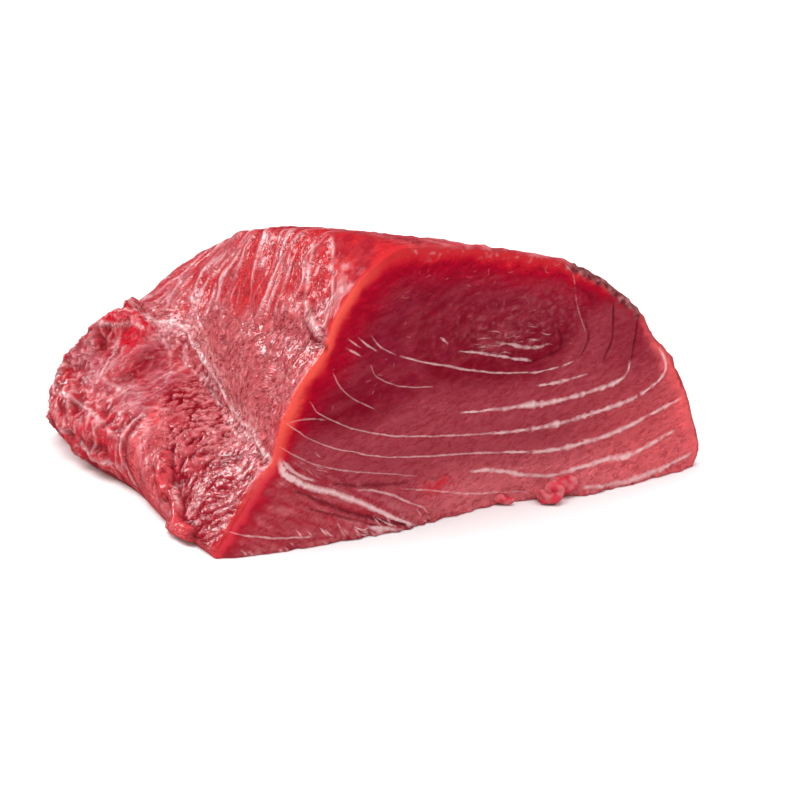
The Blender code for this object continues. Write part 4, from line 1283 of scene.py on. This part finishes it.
def make_curl(name, line):
    """A round roll of meat with blunt ends, resting on or above the level of the foot."""
    rows = smooth_line(line, CURL_STEP)
    path = [Vector(row[:3]) for row in rows]
    side = (path[1] - path[0]).orthogonal().normalized()
    rings = []
    for i, spot in enumerate(path):
        ahead = (path[min(i + 1, len(path) - 1)] - path[max(i - 1, 0)]).normalized()
        side = (side - ahead * side.dot(ahead)).normalized()
        other = ahead.cross(side)
        # The radius shrinks within its own length of an end, down to a small flat tip.
        end_gap = min(i, len(path) - 1 - i) * CURL_STEP
        blunt = 1 - max(0.0, 1 - end_gap / rows[i, 3]) ** 2
        radius = rows[i, 3] * math.sqrt(max(CURL_TIP, blunt))
        for k in range(CURL_SIDES):
            angle = 2 * math.pi * k / CURL_SIDES
            rings.append(spot + (side * math.cos(angle) + other * math.sin(angle)) * radius)
    points = np.array([tuple(p) for p in rings] + [tuple(path[0]), tuple(path[-1])])
    middles = [tuple(path[min(i // CURL_SIDES, len(path) - 1)]) for i in range(len(points))]
    points += (points - middles) * (0.35 * layered(points, 2.4, 2, 151))[:, None]
    points[:, 2] = np.maximum(points[:, 2], CURL_LOWEST)
    patch = layered(points * (1.0, 1.0, 0.5), 1.6, 2, 153)
    colour = CUT_SHARE * paint(
        CURL_RED, (MEMBRANE, 0.6 * smoothstep(-0.4, 0.5, layered(points, 3, 2, 152))),
        (CRIMSON, 0.5 * smoothstep(0.1, 0.6, patch)))
    part = Meat()
    part.add(points, colour, (0.6, 0.3, 0.15), (points[:, 0], points[:, 2]))
    last = len(rings) - CURL_SIDES
    for k in range(CURL_SIDES):
        n = (k + 1) % CURL_SIDES
        part.faces.append((len(rings), n, k))
        part.faces.append((len(rings) + 1, last + k, last + n))
        for r in range(0, last, CURL_SIDES):
            part.faces.append((r + k, r + n, r + CURL_SIDES + n, r + CURL_SIDES + k))
    return part.build(name)


def new_material(name, look):
    """Material with values for its shader's inputs. Returns it, its nodes' tree and the shader."""
    material = bpy.data.materials.new(name)
    material.use_nodes = True
    shader = material.node_tree.nodes["Principled BSDF"]
    for key, value in look.items():
        shader.inputs[key].default_value = value
    return material, material.node_tree, shader


def meat_material():
    """Wet raw meat: painted colour, finer fibres, painted shade and glints in the mottling, a glossy
    film.
    """
    material, tree, shader = new_material("raw_tuna_meat", MEAT_LOOK)

    def feed(item, inputs):
        """Set a node's inputs, each to a number or a colour or from another node's socket."""
        for key, value in inputs.items():
            if isinstance(value, bpy.types.NodeSocket):
                tree.links.new(value, item.inputs[key])
            else:
                item.inputs[key].default_value = value

    def node(kind, inputs, output, **settings):
        """The output of a new node."""
        item = tree.nodes.new("ShaderNode" + kind)
        for key, value in settings.items():
            setattr(item, key, value)
        feed(item, inputs)
        return item.outputs[output]

    def attribute(name, output="Fac"):
        """What the mesh says under a name."""
        return node("Attribute", {}, output, attribute_name=name)

    def calculate(operation, first, second):
        """Result of an operation on two inputs, each a socket or a number."""
        return node("Math", {0: first, 1: second}, "Value", operation=operation)

    def ramp(source, low, high, start, end):
        """A smooth change from start to end while the source goes from low to high."""
        return node("MapRange", {"Value": source, "From Min": low, "From Max": high, "To Min": start,
                                 "To Max": end}, "Result", interpolation_type="SMOOTHSTEP")

    def mix(share, a, b):
        """Mix of two colours."""
        return node("Mix", {0: share, 6: a, 7: b}, 2, data_type="RGBA")

    painted, shine, mottle_and_glints = attribute("meat_colour", "Color"), attribute("shine"), attribute("mottle_and_glints")
    texture = node("TexNoise", {"Vector": attribute("flow", "Vector"), **MEAT_NOISE}, "Color")
    split = tree.nodes.new("ShaderNodeSeparateColor")
    feed(split, {"Color": texture})
    red, green, blue = split.outputs
    # Fine valleys of the bump, where the colour is darkened: painted shade.
    lines = ramp(calculate("ABSOLUTE", calculate("SUBTRACT", red, 0.5), 0.0), 0.0, 0.09, 1.0, 0.0)
    squiggles = calculate("MULTIPLY", lines, ramp(green, 0.42, 0.56, 0.0, 1.0))
    # Glints, where the colour is brightened: painted highlights.
    glints = ramp(blue, 0.54, 0.68, 0.0, 1.0)
    shaded = mix(calculate("MULTIPLY", squiggles, mottle_and_glints), painted, (*linear(CRIMSON_DEEP), 1.0))
    highlighted = node("VectorMath", {0: painted, "Scale": 1.9}, "Vector", operation="SCALE")
    half_glints = calculate("MULTIPLY", glints, 0.5)
    bump_normal = node("Bump", {"Distance": 0.0002, "Strength": attribute("grain"),
                                "Height": calculate("SUBTRACT", glints, squiggles)}, "Normal")
    feed(shader, {
        "Base Color": mix(calculate("MULTIPLY", half_glints, mottle_and_glints), shaded, highlighted),
        "Roughness": node("MapRange", {"Value": shine, "To Min": 0.55, "To Max": 0.3}, "Result"),
        "Coat Weight": shine, "Normal": bump_normal, "Coat Normal": bump_normal})
    return material


def dress(item, material):
    """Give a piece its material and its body."""
    item.data.materials.append(material)
    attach(item, BODY)


def make_block():
    """The block of meat and the curls at its front edge."""
    material = meat_material()
    meat = Meat()
    skin, numbers, grid = make_skin(meat)
    front = make_front(meat, skin, numbers, grid)
    back = make_back(meat, numbers, grid)
    make_underside(meat, numbers, grid, front, back)
    block = meat.build("tuna_block")
    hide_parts(NODE)
    dress(block, material)
    for name, line in CURLS.items():
        dress(make_curl(name, line), material)


def stand(name, data, at=(0.0, 0.0, 0.0), way=None):
    """Object in the scene at a place, turned to look along a way where one is given."""
    item = bpy.data.objects.new(name, data)
    item.location = at
    if way is not None:
        item.rotation_euler = Vector(way).to_track_quat("-Z", "Y").to_euler()
    bpy.context.scene.collection.objects.link(item)
    return item


def make_floor():
    """Plain white floor."""
    half = FLOOR_SIZE / 2
    data = bpy.data.meshes.new("floor")
    corners = [(-half, -half, 0), (half, -half, 0), (half, half, 0), (-half, half, 0)]
    data.from_pydata(corners, [], [(0, 1, 2, 3)])
    floor = stand("floor", data, (0.0, 0.0, FLOOR_LEVEL))
    data.materials.append(new_material("floor_white", FLOOR_LOOK)[0])
    floor.visible_glossy = False


def make_lights():
    """Soft boxes, an even light from above and an even white room."""
    for name, (at, to, size, power) in LIGHTS.items():
        lamp = bpy.data.lights.new(name, "AREA")
        lamp.shape, lamp.size, lamp.energy = "SQUARE", size, power
        stand(name, lamp, at, Vector(to) - Vector(at))
    at, way, strength, angle = CEILING
    lamp = bpy.data.lights.new("ceiling", "SUN")
    lamp.energy, lamp.angle = strength, math.radians(angle)
    stand("ceiling", lamp, at, way).visible_glossy = False
    world = bpy.data.worlds.new("room")
    world.use_nodes = True
    background = world.node_tree.nodes["Background"]
    background.inputs["Color"].default_value = (1.0, 1.0, 1.0, 1.0)
    background.inputs["Strength"].default_value = ROOM_LIGHT
    bpy.context.scene.world = world
    world.cycles_visibility.glossy = False
    bpy.context.scene.view_settings.view_transform = "Standard"


def make_camera():
    """Camera at the photograph's place, angle and field of view."""
    data = bpy.data.cameras.new("camera")
    data.lens, data.sensor_width, data.sensor_fit = CAMERA_LENS, CAMERA_SENSOR, "HORIZONTAL"
    at, to = (Vector(row_frame(spot)) for spot in (CAMERA_AT, CAMERA_TO))
    bpy.context.scene.camera = stand("camera", data, at, to - at)


make_block()
make_floor()
make_lights()
make_camera()
